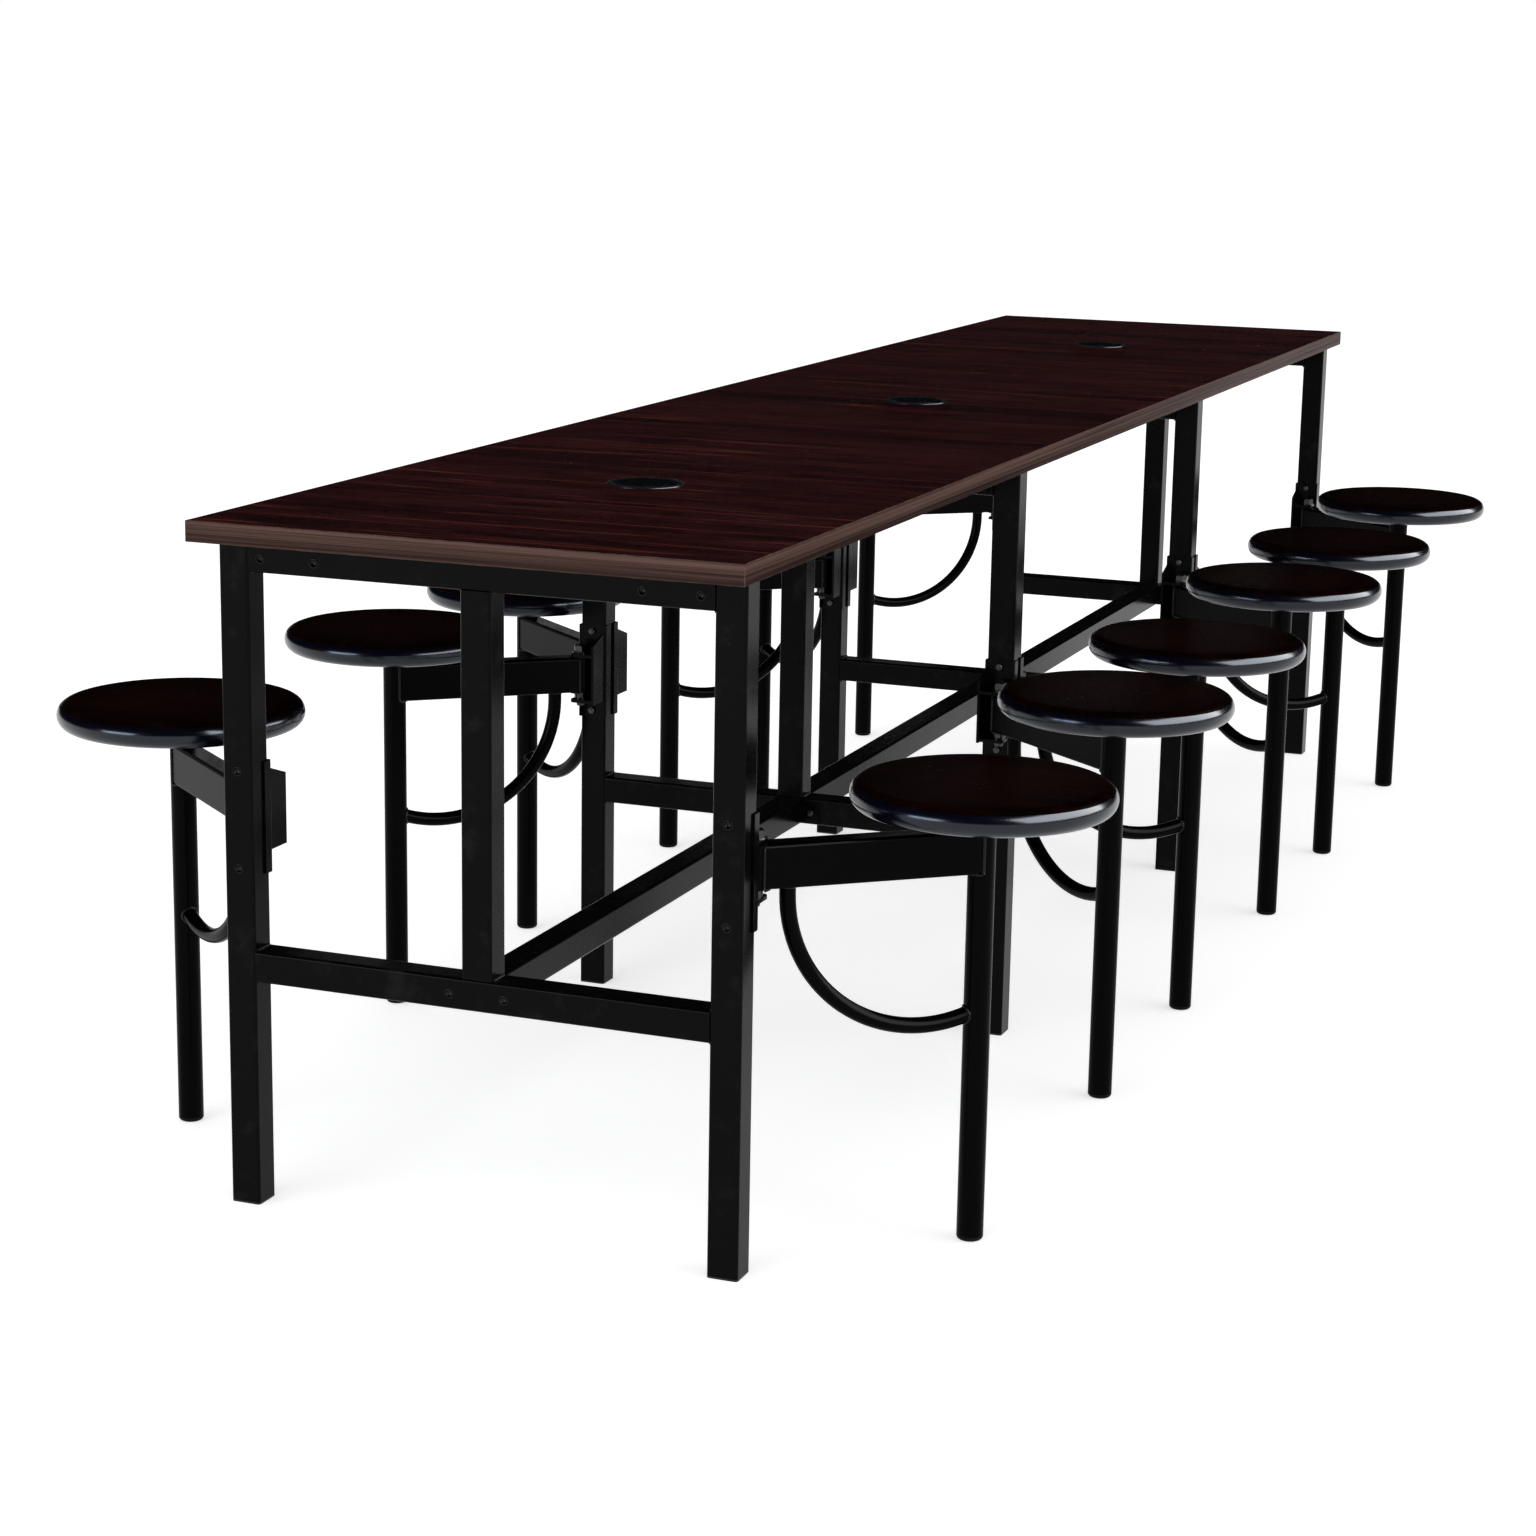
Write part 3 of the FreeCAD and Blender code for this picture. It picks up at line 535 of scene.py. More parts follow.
def arm_enamel():
    """Smoother black enamel of the arms, posts and braces, with a plastic glide at the foot."""
    material, tree, shader = new_material("arm_enamel", Specular_IOR_Level=0.032)
    height = place_axes(tree)["Z"]
    glide = spread(tree, height, 0.0072, 0.0068)
    marks = use_group(tree, HANDLING_MARKS, {"Size": 0.05, "Cover": 0.5})["Mask"]
    wear = use_group(tree, EDGE_WEAR, {"Width": 0.0015, "Amount": 0.3})["Mask"]
    color = mixed(tree, marks, (0.0006, 0.0006, 0.0007, 1), (0.0016, 0.0016, 0.0016, 1))
    color = mixed(tree, wear, color, (0.014, 0.0138, 0.0135, 1))
    color = mixed(tree, glide, color, (0.010, 0.010, 0.0105, 1))
    texture = use_group(tree, PAINT_TEXTURE, {"Grain Size": 0.0020, "Ripple": 0.5})["Height"]
    roughness = spread(tree, marks, 0.0, 1.0, 0.24, 0.32)
    roughness = maths(tree, "ADD", roughness, maths(tree, "MULTIPLY", glide, 0.2))
    finish_with(tree, shader, color, roughness, texture, 0.00003)
    return material


def weld_metal():
    """Painted-over weld bead."""
    material, tree, shader = new_material("painted_weld", Specular_IOR_Level=0.16)
    marks = use_group(tree, HANDLING_MARKS, {"Size": 0.008, "Cover": 0.6})["Mask"]
    color = mixed(tree, marks, (0.0030, 0.0030, 0.0032, 1), (0.0070, 0.0068, 0.0066, 1))
    texture = use_group(tree, PAINT_TEXTURE, {"Grain Size": 0.0009, "Ripple": 1.0})["Height"]
    finish_with(tree, shader, color, spread(tree, marks, 0.0, 1.0, 0.28, 0.42), texture, 0.00008)
    return material


def seat_facing():
    """Dark satin wood facing of the seat, with a painted sheen that makes it a little lighter towards its
    middle, broken up by smudges.
    """
    material, tree, shader = new_material("seat_facing", Specular_IOR_Level=0.008)
    axes = place_axes(tree)
    radius = maths(tree, "SQRT", maths(tree, "ADD", maths(tree, "MULTIPLY", axes["X"], axes["X"]),
                                       maths(tree, "MULTIPLY", axes["Y"], axes["Y"])))
    grain = use_group(tree, WOOD_GRAIN, {
        "Along": axes["X"], "Across": axes["Y"], "Fineness": 1.4, "Wander": 0.02,
        "Dark": (0.0008, 0.0002, 0.0002, 1), "Body": (0.0085, 0.0018, 0.0013, 1),
        "Vein": (0.012, 0.0036, 0.0030, 1), "Vein Amount": 0.2, "Band Amount": 0.4})
    marks = use_group(tree, HANDLING_MARKS, {"Size": 0.09, "Cover": 0.6})["Mask"]
    # Painted sheen: the facing's colour is lighter towards the seat's middle and darker towards its edge,
    # patchy with the smudges.
    painted_centre_sheen = spread(tree, radius, 0.165, 0.06)
    rubbed = maths(tree, "MULTIPLY", painted_centre_sheen, spread(tree, marks, 0.0, 1.0, 0.5, 1.0))
    # Mix in the lighter colour of the painted sheen; rubbed here is that painted sheen mask.
    color = mixed(tree, rubbed, grain["Color"], (0.0100, 0.0028, 0.0026, 1))
    texture = use_group(tree, PAINT_TEXTURE, {"Grain Size": 0.003, "Ripple": 0.4})["Height"]
    finish_with(tree, shader, color, spread(tree, marks, 0.0, 1.0, 0.24, 0.32), texture, 0.00001)
    return material


def seat_lacquer():
    """Gloss blue-black lacquer of the seat's rolled edge, with fine rubbing marks."""
    material, tree, shader = new_material("seat_lacquer", Specular_IOR_Level=0.40,
                                          Specular_Tint=(0.84, 0.91, 1.0, 1))
    marks = use_group(tree, HANDLING_MARKS, {"Size": 0.035, "Cover": 0.55})["Mask"]
    color = mixed(tree, marks, (0.0014, 0.0013, 0.0060, 1), (0.0036, 0.0024, 0.0060, 1))
    texture = use_group(tree, PAINT_TEXTURE, {"Grain Size": 0.004, "Ripple": 0.6})["Height"]
    finish_with(tree, shader, color, spread(tree, marks, 0.0, 1.0, 0.19, 0.25), texture, 0.00001)
    return material


def zinc_plate(name, clean, dull):
    """Zinc-plated steel, dulled in patches."""
    material, tree, shader = new_material(name, Metallic=1.0)
    marks = use_group(tree, HANDLING_MARKS, {"Size": 0.007, "Cover": 0.6})["Mask"]
    color = mixed(tree, marks, clean, dull)
    texture = use_group(tree, PAINT_TEXTURE, {"Grain Size": 0.0007, "Ripple": 0.4})["Height"]
    finish_with(tree, shader, color, spread(tree, marks, 0.0, 1.0, 0.22, 0.42), texture, 0.00003)
    return material


WORN_PLASTIC = 2.2


def moulded_plastic(name, low, high, roughness, specular):
    """Moulded plastic with a faint spark-eroded skin, paler where its edges are worn."""
    material, tree, shader = new_material(name, Specular_IOR_Level=specular)
    marks = use_group(tree, HANDLING_MARKS, {"Size": 0.02, "Cover": 0.6})["Mask"]
    wear = use_group(tree, EDGE_WEAR, {"Width": 0.0008, "Amount": 0.4})["Mask"]
    color = mixed(tree, marks, low, high)
    color = mixed(tree, wear, color, tuple(WORN_PLASTIC * c for c in high[:3]) + (1,))
    texture = use_group(tree, PAINT_TEXTURE, {"Grain Size": 0.0006, "Ripple": 0.2})["Height"]
    rubbed = spread(tree, marks, 0.0, 1.0, roughness, roughness + 0.1)
    finish_with(tree, shader, color, rubbed, texture, 0.00003)
    return material


def set_finish(node, material):
    """Give a CAD node its material."""
    obj = frame["nodes"][node]
    for slot in obj.material_slots:
        slot.material = material


# ---- Table top ---------------------------------------------------------------------------------
def band_strips(bm):
    """Four strips with eased edges; the short ones cover the ends of the long ones."""
    strips = []
    for sign in (-1, 1):
        x = sorted((sign * TOP_HIGH.x, sign * (TOP_HIGH.x - BAND_THICKNESS)))
        y = sorted((sign * TOP_HIGH.y, sign * (TOP_HIGH.y - BAND_THICKNESS)))
        strips.append((x, (TOP_LOW.y + BAND_THICKNESS, TOP_HIGH.y - BAND_THICKNESS)))
        strips.append(((TOP_LOW.x, TOP_HIGH.x), y))
    for (x0, x1), (y0, y1) in strips:
        size = Vector((x1 - x0, y1 - y0, TOP_HIGH.z - TOP_LOW.z))
        centre = Vector(((x0 + x1) / 2, (y0 + y1) / 2, (TOP_HIGH.z + TOP_LOW.z) / 2))
        place = Matrix.Translation(centre) @ Matrix.Diagonal((*size, 1))
        cube = bmesh.ops.create_cube(bm, size=1.0, matrix=place)["verts"]
        edges = {edge for vertex in cube for edge in vertex.link_edges}
        bmesh.ops.bevel(bm, geom=list(edges), offset=BAND_EASING, segments=2, profile=0.5, affect="EDGES")


def grommet_places():
    """Centres of the cable grommets along the top."""
    cell = (TOP_HIGH.y - TOP_LOW.y) / GROMMET_COUNT
    return [Vector((0, TOP_LOW.y + (k + 0.5) * cell, TOP_HIGH.z)) for k in range(GROMMET_COUNT)]


def grommet_rim(bm, place):
    """Sleeve with a softly domed rim that lies in the top's rebate."""
    half_width = (GROMMET_RIM_RADIUS - GROMMET_INNER_RADIUS) / 2
    crown = arc(((GROMMET_RIM_RADIUS + GROMMET_INNER_RADIUS) / 2, 0.0), half_width, 0, 180, CROWN_STEPS)
    flat = GROMMET_RIM_HEIGHT / half_width
    profile = [(GROMMET_INNER_RADIUS, -GROMMET_SLEEVE_DEPTH), (GROMMET_HOLE_RADIUS, -GROMMET_SLEEVE_DEPTH),
               (GROMMET_HOLE_RADIUS, -GROMMET_REBATE), (GROMMET_RIM_RADIUS, -GROMMET_REBATE)]
    profile += [(r, z * flat) for r, z in crown] + [(GROMMET_INNER_RADIUS, -GROMMET_SLEEVE_DEPTH)]
    turned(bm, profile, Matrix.Translation(place), segments=72)


def cap_outline(inset):
    """Plan of the cap: a circle with a round notch on its right."""
    radius = CAP_RADIUS - inset
    notch = NOTCH_RADIUS + inset
    meet = 2 * math.asin(notch / (2 * CAP_RADIUS))
    sweep = math.tau - 2 * meet
    half = math.pi / 2 - meet / 2 - NOTCH_MARGIN
    circle = [meet + sweep * k / CAP_STEPS for k in range(CAP_STEPS + 1)]
    bite = [half - 2 * half * k / NOTCH_STEPS for k in range(NOTCH_STEPS + 1)]
    return ([(radius * math.cos(a), radius * math.sin(a)) for a in circle]
            + [(CAP_RADIUS - notch * math.cos(a), -notch * math.sin(a)) for a in bite])


def grommet_cap(bm, place):
    """Cap with a rolled edge, a lip round a shallow dish, and a cable notch."""
    skin(bm, [[bm.verts.new(place + Vector((x, y, height))) for x, y in cap_outline(inset)]
              for inset, height in CAP_LEVELS])


def dress_top(laminate, banding, rim_plastic, cap_plastic):
    """Laminate on the board, eased edge band and the three grommets."""
    set_finish("table_top", laminate)
    band = piece("edge_band_strips", band_strips, banding, TABLE)
    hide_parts("edge_band")
    for k, place in enumerate(grommet_places()):
        rim = piece("grommet_rim_%d" % (k + 1), lambda bm: grommet_rim(bm, place), rim_plastic, TABLE)
        piece("grommet_cap_%d" % (k + 1), lambda bm: grommet_cap(bm, place), cap_plastic, TABLE)
        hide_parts("cable_grommets")


# ---- Frames ------------------------------------------------------------------------------------
def frame_welds(bm, y):
    """Beads under and over the lower rail's ends, under the top rail's, and beside the centre post's."""
    places = [(LEG_X - TUBE_HALF, z) for z in (LOWER_RAIL_BOTTOM, LOWER_RAIL_TOP, TOP_RAIL_BOTTOM)]
    places += [(TUBE_HALF, z) for z in (LOWER_RAIL_TOP, TOP_RAIL_BOTTOM)]
    for sign in (-1, 1):
        for x, z in places:
            start = (sign * x, y - TUBE_FLAT / 2, z)
            end = (sign * x, y + TUBE_FLAT / 2, z)
            bead(bm, line_points(start, end), FRAME_WELD)


def screw_places():
    """(x, z) of a frame's screws: beam plates, stringer plates, then bracket saddles."""
    plates = [(sign * PLATE_SCREW_X, BEAM_SCREW_Z) for sign in (-1, 1)]
    for stringer in (-STRINGER_X, STRINGER_X):
        plates += [(stringer + sign * PLATE_SCREW_X, STRINGER_SCREW_Z) for sign in (-1, 1)]
    legs = [(sign * LEG_X, z) for sign in (-1, 1) for z in LEG_SCREW_HEIGHTS]
    return plates + legs


def screw_end(bm, place):
    """Hexagon nut with the screw's rounded end standing out of it."""
    hexagon_head(bm, NUT_ACROSS_FLATS, NUT_HEIGHT, place)
    tip = NUT_HEIGHT + SCREW_TIP_END
    turned(bm, [(SCREW_RADIUS, NUT_HEIGHT - SCREW_ROOT), (SCREW_RADIUS, NUT_HEIGHT + SCREW_THREAD_END),
                (SCREW_TIP_RADIUS, tip), (0, tip)], place, segments=20)


def cup_head(bm, place):
    """Dished screw head in the hole of an end frame, with a thin lip that lies on the tube."""
    dish = [(SCREW_CUP_RADIUS * math.sin(math.radians(a)) * DISH_REACH,
             -SCREW_CUP_DEPTH * (math.cos(math.radians(a)) - DISH_RISE)) for a in range(0, 85, 12)]
    lip = [(SCREW_CUP_RADIUS, SCREW_LIP_HEIGHT), (SCREW_LIP_RADIUS - SCREW_LIP_EASING, SCREW_LIP_HEIGHT),
           (SCREW_LIP_RADIUS, SCREW_LIP_EDGE), (SCREW_LIP_RADIUS, 0.0)]
    cup = [(SCREW_CUP_RADIUS, 0.0), (SCREW_CUP_RADIUS, -TUBE_WALL), (0, -SCREW_CUP_DEPTH - SCREW_CUP_FLOOR)]
    turned(bm, dish + lip + cup, place, segments=28)


def screw_faces(index):
    """Faces of a frame on which plates are screwed, then the bare outer faces."""
    outer = [-1] if index == 0 else [1] if index == FRAME_COUNT - 1 else []
    return [face for face in (-1, 1) if face not in outer], outer


def screw_nuts(bm):
    """A nut for every screw on every plate."""
    for k, y in enumerate(FRAME_YS):
        for face in screw_faces(k)[0]:
            for x, z in screw_places():
                screw_end(bm, axis_frame(Vector((x, y + face * (TUBE_HALF + PLATE), z)), (0, face, 0)))


def dished_heads(bm):
    """Dished screw heads in the outer faces of the end frames."""
    for k, y in enumerate(FRAME_YS):
        for face in screw_faces(k)[1]:
            for x, z in screw_places():
                cup_head(bm, axis_frame(Vector((x, y + face * TUBE_HALF, z)), (0, face, 0)))


def dress_frames(paint, welds, zinc, plug_plastic):
    """Powder coat on tubes and brackets, weld beads, screws and foot plugs."""
    for k, y in enumerate(FRAME_YS):
        set_finish("frame_%d" % (k + 1), paint)
        piece("frame_welds_%d" % (k + 1), lambda bm: frame_welds(bm, y), welds, TABLE,
              crease=60)
        for side in SIDES:
            set_finish("hinge_bracket_%s_%d" % (side, k + 1), paint)
    for bay in range(FRAME_COUNT - 1):
        set_finish("lower_beam_%d" % (bay + 1), paint)
    for side in SIDES:
        set_finish("top_stringers_" + side, paint)
    set_finish("foot_plugs", plug_plastic)
    nuts = piece("frame_screw_nuts", screw_nuts, zinc, TABLE, crease=25)
    heads = piece("frame_screw_heads", dished_heads, welds, TABLE, crease=50)
    for screws in (nuts, heads):
        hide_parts("frame_screws")


# ---- Hinges and arms ---------------------------------------------------------------------------
def hinge_axis(label):
    """Where an arm's hinge bolt stands."""
    name = "arm_swing_" + label
    x, y, z = next(joint for joint in frame["joints"] if joint["name"] == name)["pos_m"]
    return Vector((x, y, 0))


def arm_place(label):
    """Matrix of an arm: hinge bolt on local Z, post along local X; and the post's distance."""
    hinge = hinge_axis(label)
    post = middle("seat_" + label)
    along = Vector((post.x - hinge.x, post.y - hinge.y, 0))
    turn = Matrix.Rotation(math.atan2(along.y, along.x), 4, "Z")
    return Matrix.Translation(hinge) @ turn, along.length


def hinge_bolt(bm, axis):
    """Hexagon head on a washer above the ears, spacer between them, and the pin's tail below."""
    place = Matrix.Translation(axis)
    turned(bm, [(0, PIN_TAIL_Z), (PIN_TIP_RADIUS, PIN_TAIL_Z), (PIN_RADIUS, PIN_TAIL_Z + PIN_TIP_HEIGHT),
                (PIN_RADIUS, WASHER_BOTTOM), (0, WASHER_BOTTOM)], place, segments=32)
    turned(bm, [(PIN_RADIUS, LOWER_EAR_TOP), (SPACER_RADIUS, LOWER_EAR_TOP), (SPACER_RADIUS, SPACER_TOP),
                (PIN_RADIUS, SPACER_TOP)], place, segments=32)
    top = WASHER_BOTTOM + WASHER_THICKNESS
    eased = WASHER_RADIUS - WASHER_EASE_IN
    turned(bm, [(PIN_RADIUS, WASHER_BOTTOM), (eased, WASHER_BOTTOM),
                (WASHER_RADIUS, WASHER_BOTTOM + WASHER_EASE_UP), (WASHER_RADIUS, top - WASHER_EASE_UP),
                (eased, top), (PIN_RADIUS, top)], place, segments=40)
    hexagon_head(bm, HEAD_ACROSS_FLATS, HEAD_HEIGHT, Matrix.Translation(axis + Vector((0, 0, top))))


def all_hinge_bolts(bm):
    """The twelve hinge bolts."""
    for label in labels():
        hinge_bolt(bm, hinge_axis(label))


def arc_points(centre_x, radius, z, ends):
    """Points of a bead round a vertical tube, between two angles in degrees."""
    start, end = ends
    angles = [math.radians(start + (end - start) * k / ARC_STEPS) for k in range(ARC_STEPS + 1)]
    return [Vector((centre_x + radius * math.cos(a), radius * math.sin(a), z)) for a in angles]


def arm_welds(bm, place, reach):
    """Beads where the arm meets the knuckle and the post, and at both ends of the brace.

    The knuckle has none on top, because it turns close under the bracket's upper ear.
    """
    runs = [arc_points(0.0, KNUCKLE_RADIUS, ARM_BOTTOM, KNUCKLE_BEAD_ENDS)]
    for z in (ARM_BOTTOM, ARM_TOP):
        runs.append(arc_points(reach, POST_RADIUS, z, POST_BEAD_ENDS))
    knuckle_x = math.sqrt(KNUCKLE_RADIUS ** 2 - ARM_HALF_WIDTH ** 2)
    post_x = reach - math.sqrt(POST_RADIUS ** 2 - ARM_HALF_WIDTH ** 2)
    for x, top in ((knuckle_x, ARM_TOP - KNUCKLE_BEAD_DROP), (post_x, ARM_TOP)):
        for sign in (-1, 1):
            runs.append(line_points((x, sign * ARM_HALF_WIDTH, ARM_BOTTOM), (x, sign * ARM_HALF_WIDTH, top)))
    for run in runs:
        bead(bm, [place @ point for point in run], ARM_WELD)
    turns = [math.tau * k / LOOP_STEPS for k in range(LOOP_STEPS)]
    stub = [Vector((BRACE_START + BRACE_RADIUS * math.cos(a), BRACE_RADIUS * math.sin(a), ARM_BOTTOM))
            for a in turns]
    foot = []
    for a in turns:
        y = BRACE_RADIUS * math.cos(a)
        z = BRACE_MEETS_POST_Z + BRACE_RADIUS * math.sin(a) * BRACE_SLANT
        foot.append(Vector((reach - math.sqrt(POST_RADIUS ** 2 - y ** 2), y, z)))
    for loop in (stub, foot):
        bead(bm, [place @ point for point in loop], ARM_WELD, closed=True)


def dress_arms(enamel, welds, bolt_metal):
    """Enamel on the arms and posts, their weld beads, and the hinge bolts."""
    for label in labels():
        set_finish("swing_arm_" + label, enamel)
        set_finish("seat_post_" + label, enamel)
        place, reach = arm_place(label)
        piece("arm_welds_" + label, lambda bm: arm_welds(bm, place, reach), welds, "arm_" + label,
              crease=60)
    bolts = piece("hinge_bolt_set", all_hinge_bolts, bolt_metal, TABLE, crease=25)
    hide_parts("hinge_bolts")


# ---- Seats -------------------------------------------------------------------------------------
def edge_point(angle, depth=0.0):
    """(r, z) on the seat's half-round edge at an angle above its middle, z from the seat's top."""
    half = SEAT_THICKNESS / 2
    turn = math.radians(angle)
    reach = half - depth
    return SEAT_RADIUS - half + reach * math.cos(turn), -half + reach * math.sin(turn)


def facing_profile():
    """Flat top that rolls over as far as the groove."""
    flat = SEAT_RADIUS - SEAT_THICKNESS / 2
    level = [(radius, 0) for radius in (0, *FACING_RINGS, flat)]
    roll = [edge_point(90 - (90 - FACING_ANGLE) * k / FACING_STEPS) for k in range(1, FACING_STEPS + 1)]
    return level + roll + [edge_point(*FACING_LIP), edge_point(*GROOVE_FLOOR)]


def shell_profile():
    """Rolled edge from the groove down and round to the underside."""
    start = [edge_point(*GROOVE_FLOOR), edge_point(*SHELL_LIP)]
    roll = [edge_point(GROOVE_ANGLE - (GROOVE_ANGLE + 90) * k / SHELL_STEPS) for k in range(SHELL_STEPS + 1)]
    return start + roll + [(UNDERSIDE_RING, -SEAT_THICKNESS), (0, -SEAT_THICKNESS)]


def seat_spindle(bm, top_z):
    """Spindle with its collar, welded to a round plate that four screws hold to the seat."""
    collar = COLLAR_BOTTOM - top_z
    tip = collar - SPINDLE_LENGTH
    under = -SEAT_THICKNESS - SEAT_PLATE_THICKNESS
    spindle = [(0, tip), (SPINDLE_RADIUS - SPINDLE_EASING, tip), (SPINDLE_RADIUS, tip + SPINDLE_EASING),
               (SPINDLE_RADIUS, collar), (COLLAR_RADIUS, collar)]
    fillet = [(COLLAR_RADIUS + out, under - down) for out, down in COLLAR_FILLET]
    plate = [(SEAT_PLATE_RADIUS - SEAT_PLATE_EASING, under), (SEAT_PLATE_RADIUS, under + SEAT_PLATE_EASING),
             (SEAT_PLATE_RADIUS, -SEAT_THICKNESS), (0, -SEAT_THICKNESS)]
    turned(bm, spindle + fillet + plate, AT_ORIGIN, segments=56)
    for k in range(SEAT_SCREW_COUNT):
        turn = Matrix.Rotation(math.radians(45 + 90 * k), 4, "Z")
        spot = turn @ Matrix.Translation((SEAT_SCREW_CIRCLE, 0, under)) @ Matrix.Rotation(math.pi, 4, "X")
        turned(bm, SEAT_SCREW_HEAD, spot, segments=20)


def dress_seats(facing, lacquer, zinc):
    """Facing, rolled lacquered edge and spindle for each seat, with quarter turns between seats."""
    for k, label in enumerate(labels()):
        node = "seat_" + label
        top_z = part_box(node)[1].z
        centre = middle(node)
        here = Matrix.Translation((centre.x, centre.y, top_z)) @ Matrix.Rotation(math.radians(90 * k), 4, "Z")
        body = "swivel_seat_" + label
        top = piece("seat_top_" + label, lambda bm: turned(bm, facing_profile(), AT_ORIGIN, SEAT_SEGMENTS),
                    facing, body, place=here)
        rim = piece("seat_rim_" + label, lambda bm: turned(bm, shell_profile(), AT_ORIGIN, SEAT_SEGMENTS),
                    lacquer, body, place=here)
        spindle = piece("seat_spindle_" + label, lambda bm: seat_spindle(bm, top_z), zinc, body,
                        place=here)
        for obj in (top, rim, spindle):
            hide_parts(node)


# ---- Studio ------------------------------------------------------------------------------------
# Camera: turns in degrees, lens and sensor in millimetres
CAMERA_PLACE = (1.8265, -5.4746, 1.5958)
CAMERA_TURN = 20.961
CAMERA_DIP = 12.820
CAMERA_ROLL = 0.986
LENS = 75.72
SENSOR_WIDTH = 36.0


def set_camera():
    """Camera at standing height off the front right corner."""
    data = bpy.data.cameras.new("camera")
    data.lens = LENS
    data.sensor_width = SENSOR_WIDTH
    camera = bpy.data.objects.new("camera", data)
    bpy.context.scene.collection.objects.link(camera)
    camera.matrix_world = (Matrix.Translation(CAMERA_PLACE)
                           @ Matrix.Rotation(math.radians(CAMERA_TURN), 4, "Z")
                           @ Matrix.Rotation(math.radians(90 - CAMERA_DIP), 4, "X")
                           @ Matrix.Rotation(math.radians(CAMERA_ROLL), 4, "Z"))
    bpy.context.scene.camera = camera


def white_to_the_eye(tree):
    """1 for camera, glossy and transmission rays."""
    path = add_node(tree, "ShaderNodeLightPath").outputs
    seen = maths(tree, "ADD", path["Is Camera Ray"], path["Is Glossy Ray"])
    return maths(tree, "ADD", seen, path["Is Transmission Ray"], clamp=True)


FLOOR_SIZE = 60.0
FLOOR_COLOR = (0.80, 0.80, 0.80, 1)
FLOOR_GLOW = 0.60


def lay_floor():
    """Pale floor that reads as white, keeps the table's soft shadow, and is clear from below."""
    mesh = bpy.data.meshes.new("floor")
    half = FLOOR_SIZE / 2
    corners = [(-half, -half, 0), (half, -half, 0), (half, half, 0), (-half, half, 0)]
    mesh.from_pydata(corners, [], [(0, 1, 2, 3)])
    floor = bpy.data.objects.new("floor", mesh)
    bpy.context.scene.collection.objects.link(floor)
    material = bpy.data.materials.new("floor_white")
    material.use_nodes = True
    tree = material.node_tree
    tree.nodes.clear()
    matte = add_node(tree, "ShaderNodeBsdfDiffuse", {"Color": FLOOR_COLOR}).outputs[0]
    strength = maths(tree, "MULTIPLY", white_to_the_eye(tree), FLOOR_GLOW)
    glow = add_node(tree, "ShaderNodeEmission", {"Color": (1, 1, 1, 1), "Strength": strength}).outputs[0]
    white = add_node(tree, "ShaderNodeAddShader", {0: matte, 1: glow}).outputs[0]
    below = add_node(tree, "ShaderNodeNewGeometry").outputs["Backfacing"]
    clear = add_node(tree, "ShaderNodeBsdfTransparent").outputs[0]
    shader = add_node(tree, "ShaderNodeMixShader", {0: below, 1: white, 2: clear}).outputs[0]
    add_node(tree, "ShaderNodeOutputMaterial", {"Surface": shader})
    mesh.materials.append(material)


AMBIENT = 0.62
DARK_STUDIO = 0.004
WALL_TOP = 0.012


def set_world():
    """White to the eye, a low white wall under a dark studio in reflections, and even light on matte."""
    world = bpy.data.worlds.new("studio")
    bpy.context.scene.world = world
    world.use_nodes = True
    tree = world.node_tree
    tree.nodes.clear()
    up = add_node(tree, "ShaderNodeSeparateXYZ",
                  {0: add_node(tree, "ShaderNodeTexCoord").outputs["Generated"]}).outputs["Z"]
    path = add_node(tree, "ShaderNodeLightPath").outputs
    mirrored = maths(tree, "ADD", path["Is Glossy Ray"], path["Is Transmission Ray"], clamp=True)
    wall = spread(tree, up, WALL_TOP, WALL_TOP * 0.8, DARK_STUDIO, 1.0)
    ambient = mixed(tree, mirrored, (AMBIENT, AMBIENT, AMBIENT, 1), wall)
    color = mixed(tree, path["Is Camera Ray"], ambient, (1, 1, 1, 1))
    background = add_node(tree, "ShaderNodeBackground", {"Color": color, "Strength": 1.0}).outputs[0]
    add_node(tree, "ShaderNodeOutputWorld", {"Surface": background})


# Lamps: name; azimuth, elevation, width and height in degrees; radiance; colour; whether it lights surfaces
LAMP_DISTANCE = 16.0
LAMPS = (
    ("right_panel", 5, 38, 50, 36, 0.95, (1, 1, 1), True),
    ("front_left_panel", -110, 30, 40, 36, 1.4, (0.95, 0.98, 1.0), True),
    ("right_reflection", 2, 31, 84, 40, 11.0, (1, 1, 1), False),
    ("front_left_reflection", -118, 9.0, 28, 11, 12.0, (0.74, 0.84, 1.0), False))


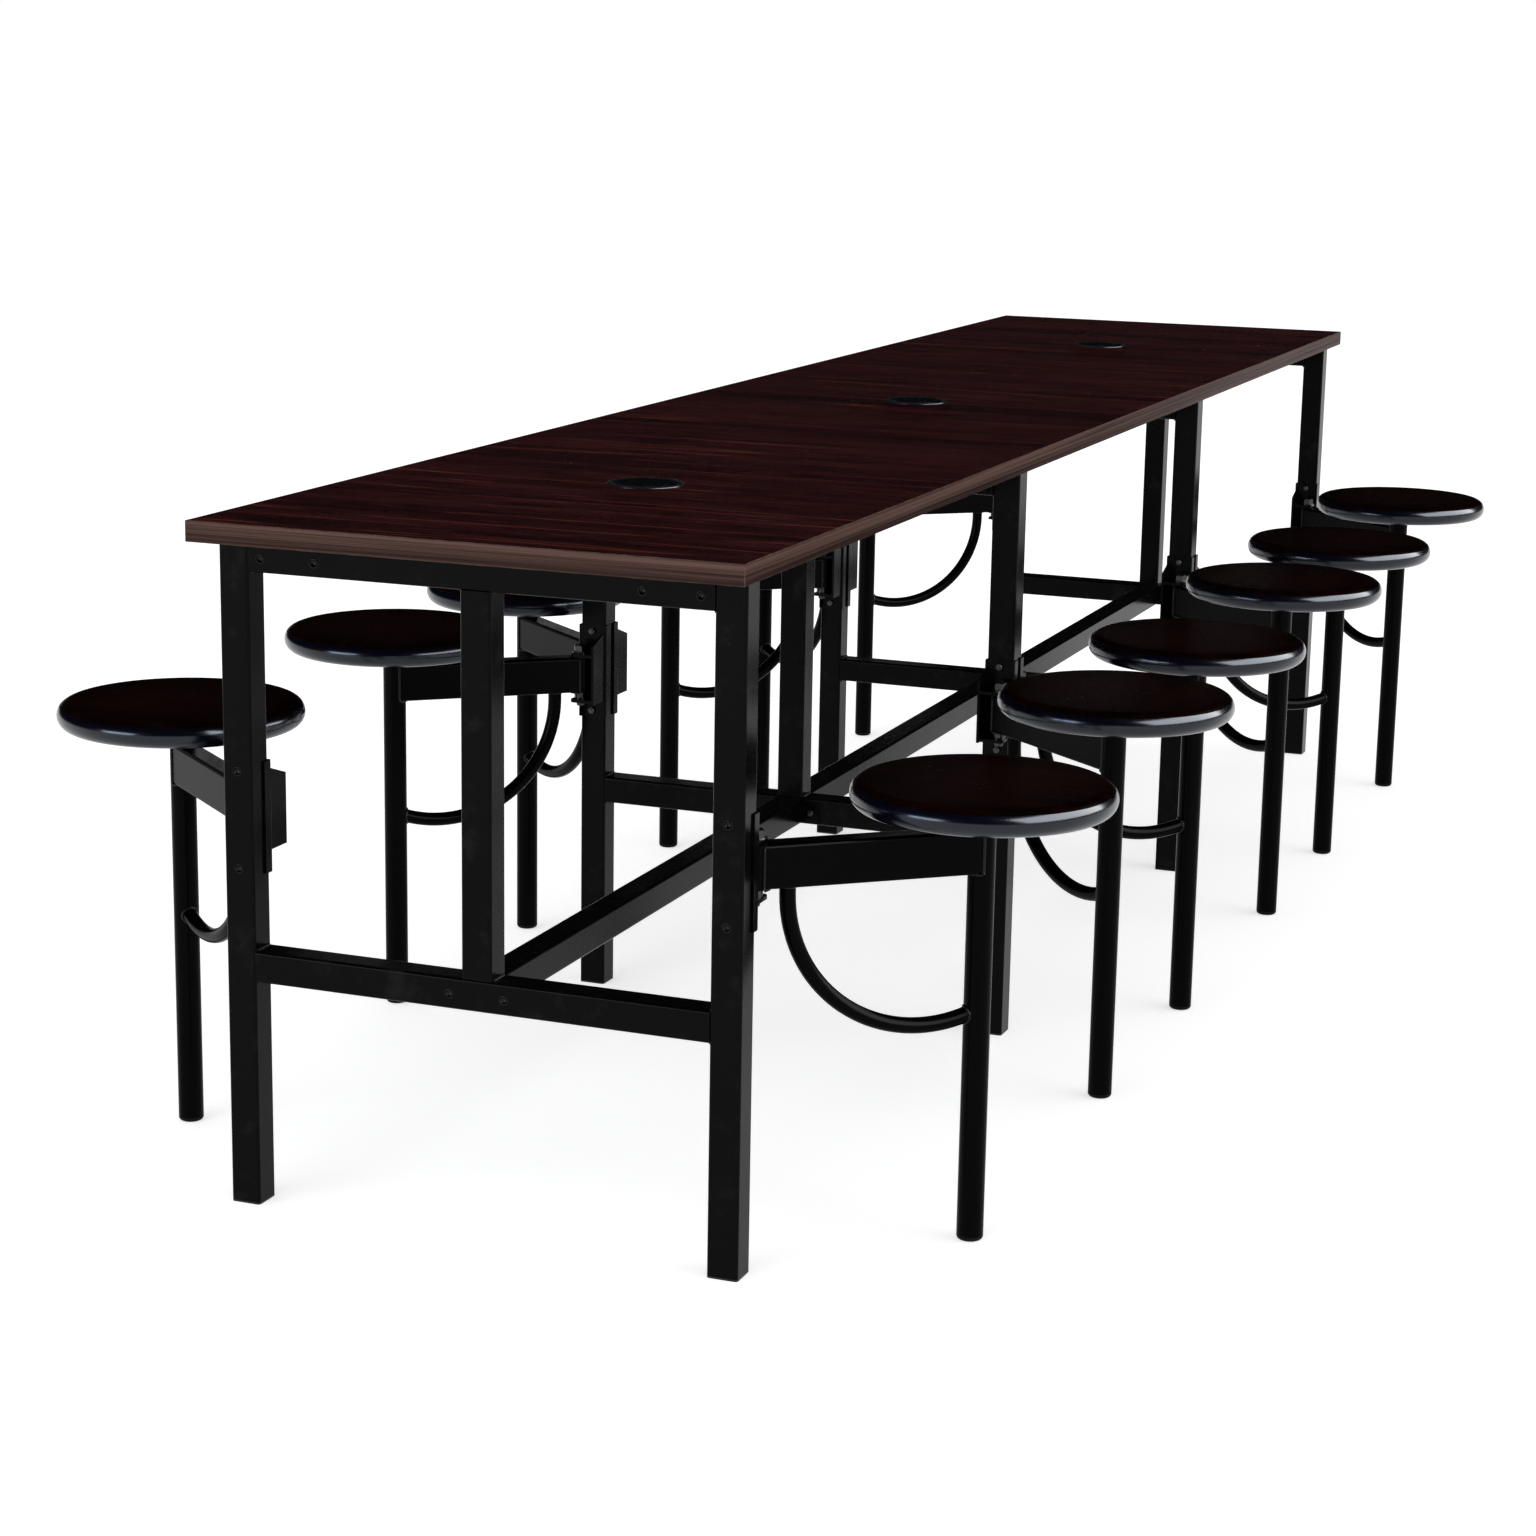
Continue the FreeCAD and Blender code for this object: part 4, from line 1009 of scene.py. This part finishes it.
def hang_lamp(name, azimuth, elevation, width, height, radiance, color, lights):
    """Soft panel, sized by the angles that it fills, that either lights surfaces or only shines in them."""
    a, e = math.radians(azimuth), math.radians(elevation)
    direction = Vector((math.cos(e) * math.cos(a), math.cos(e) * math.sin(a), math.sin(e)))
    data = bpy.data.lights.new(name, "AREA")
    data.shape = "RECTANGLE"
    data.size = 2 * LAMP_DISTANCE * math.tan(math.radians(width / 2))
    data.size_y = 2 * LAMP_DISTANCE * math.tan(math.radians(height / 2))
    data.energy = radiance * math.pi * data.size * data.size_y
    data.color = color
    lamp = bpy.data.objects.new(name, data)
    bpy.context.scene.collection.objects.link(lamp)
    turn = direction.to_track_quat("Z", "Y").to_matrix().to_4x4()
    lamp.matrix_world = Matrix.Translation(direction * LAMP_DISTANCE) @ turn
    lamp.visible_camera = False
    lamp.visible_diffuse = lights
    lamp.visible_glossy = not lights


def light_studio():
    """Panels at the right and the front left that light the table, and two that only shine in it."""
    for lamp in LAMPS:
        hang_lamp(*lamp)


# ---- Build -------------------------------------------------------------------------------------
set_camera()
set_world()
lay_floor()
light_studio()

zinc = zinc_plate("zinc_plate", (0.280, 0.280, 0.274, 1), (0.160, 0.160, 0.155, 1))
dark_zinc = zinc_plate("dark_zinc_plate", (0.050, 0.050, 0.049, 1), (0.022, 0.022, 0.022, 1))
beads = weld_metal()
rim_plastic = moulded_plastic("grommet_rim_plastic", (0.010, 0.011, 0.014, 1), (0.020, 0.021, 0.026, 1),
                              roughness=0.20, specular=0.50)
cap_plastic = moulded_plastic("grommet_cap_plastic", (0.0020, 0.0026, 0.0040, 1), (0.0040, 0.0050, 0.0070, 1),
                              roughness=0.26, specular=0.04)
plug_plastic = moulded_plastic("plug_plastic", (0.006, 0.006, 0.006, 1), (0.012, 0.012, 0.012, 1),
                               roughness=0.5, specular=0.3)
dress_top(top_laminate(), edge_banding(), rim_plastic, cap_plastic)
dress_frames(powder_coat(), beads, dark_zinc, plug_plastic)
dress_arms(arm_enamel(), beads, dark_zinc)
dress_seats(seat_facing(), seat_lacquer(), zinc)

bpy.context.scene.view_settings.view_transform = "Standard"
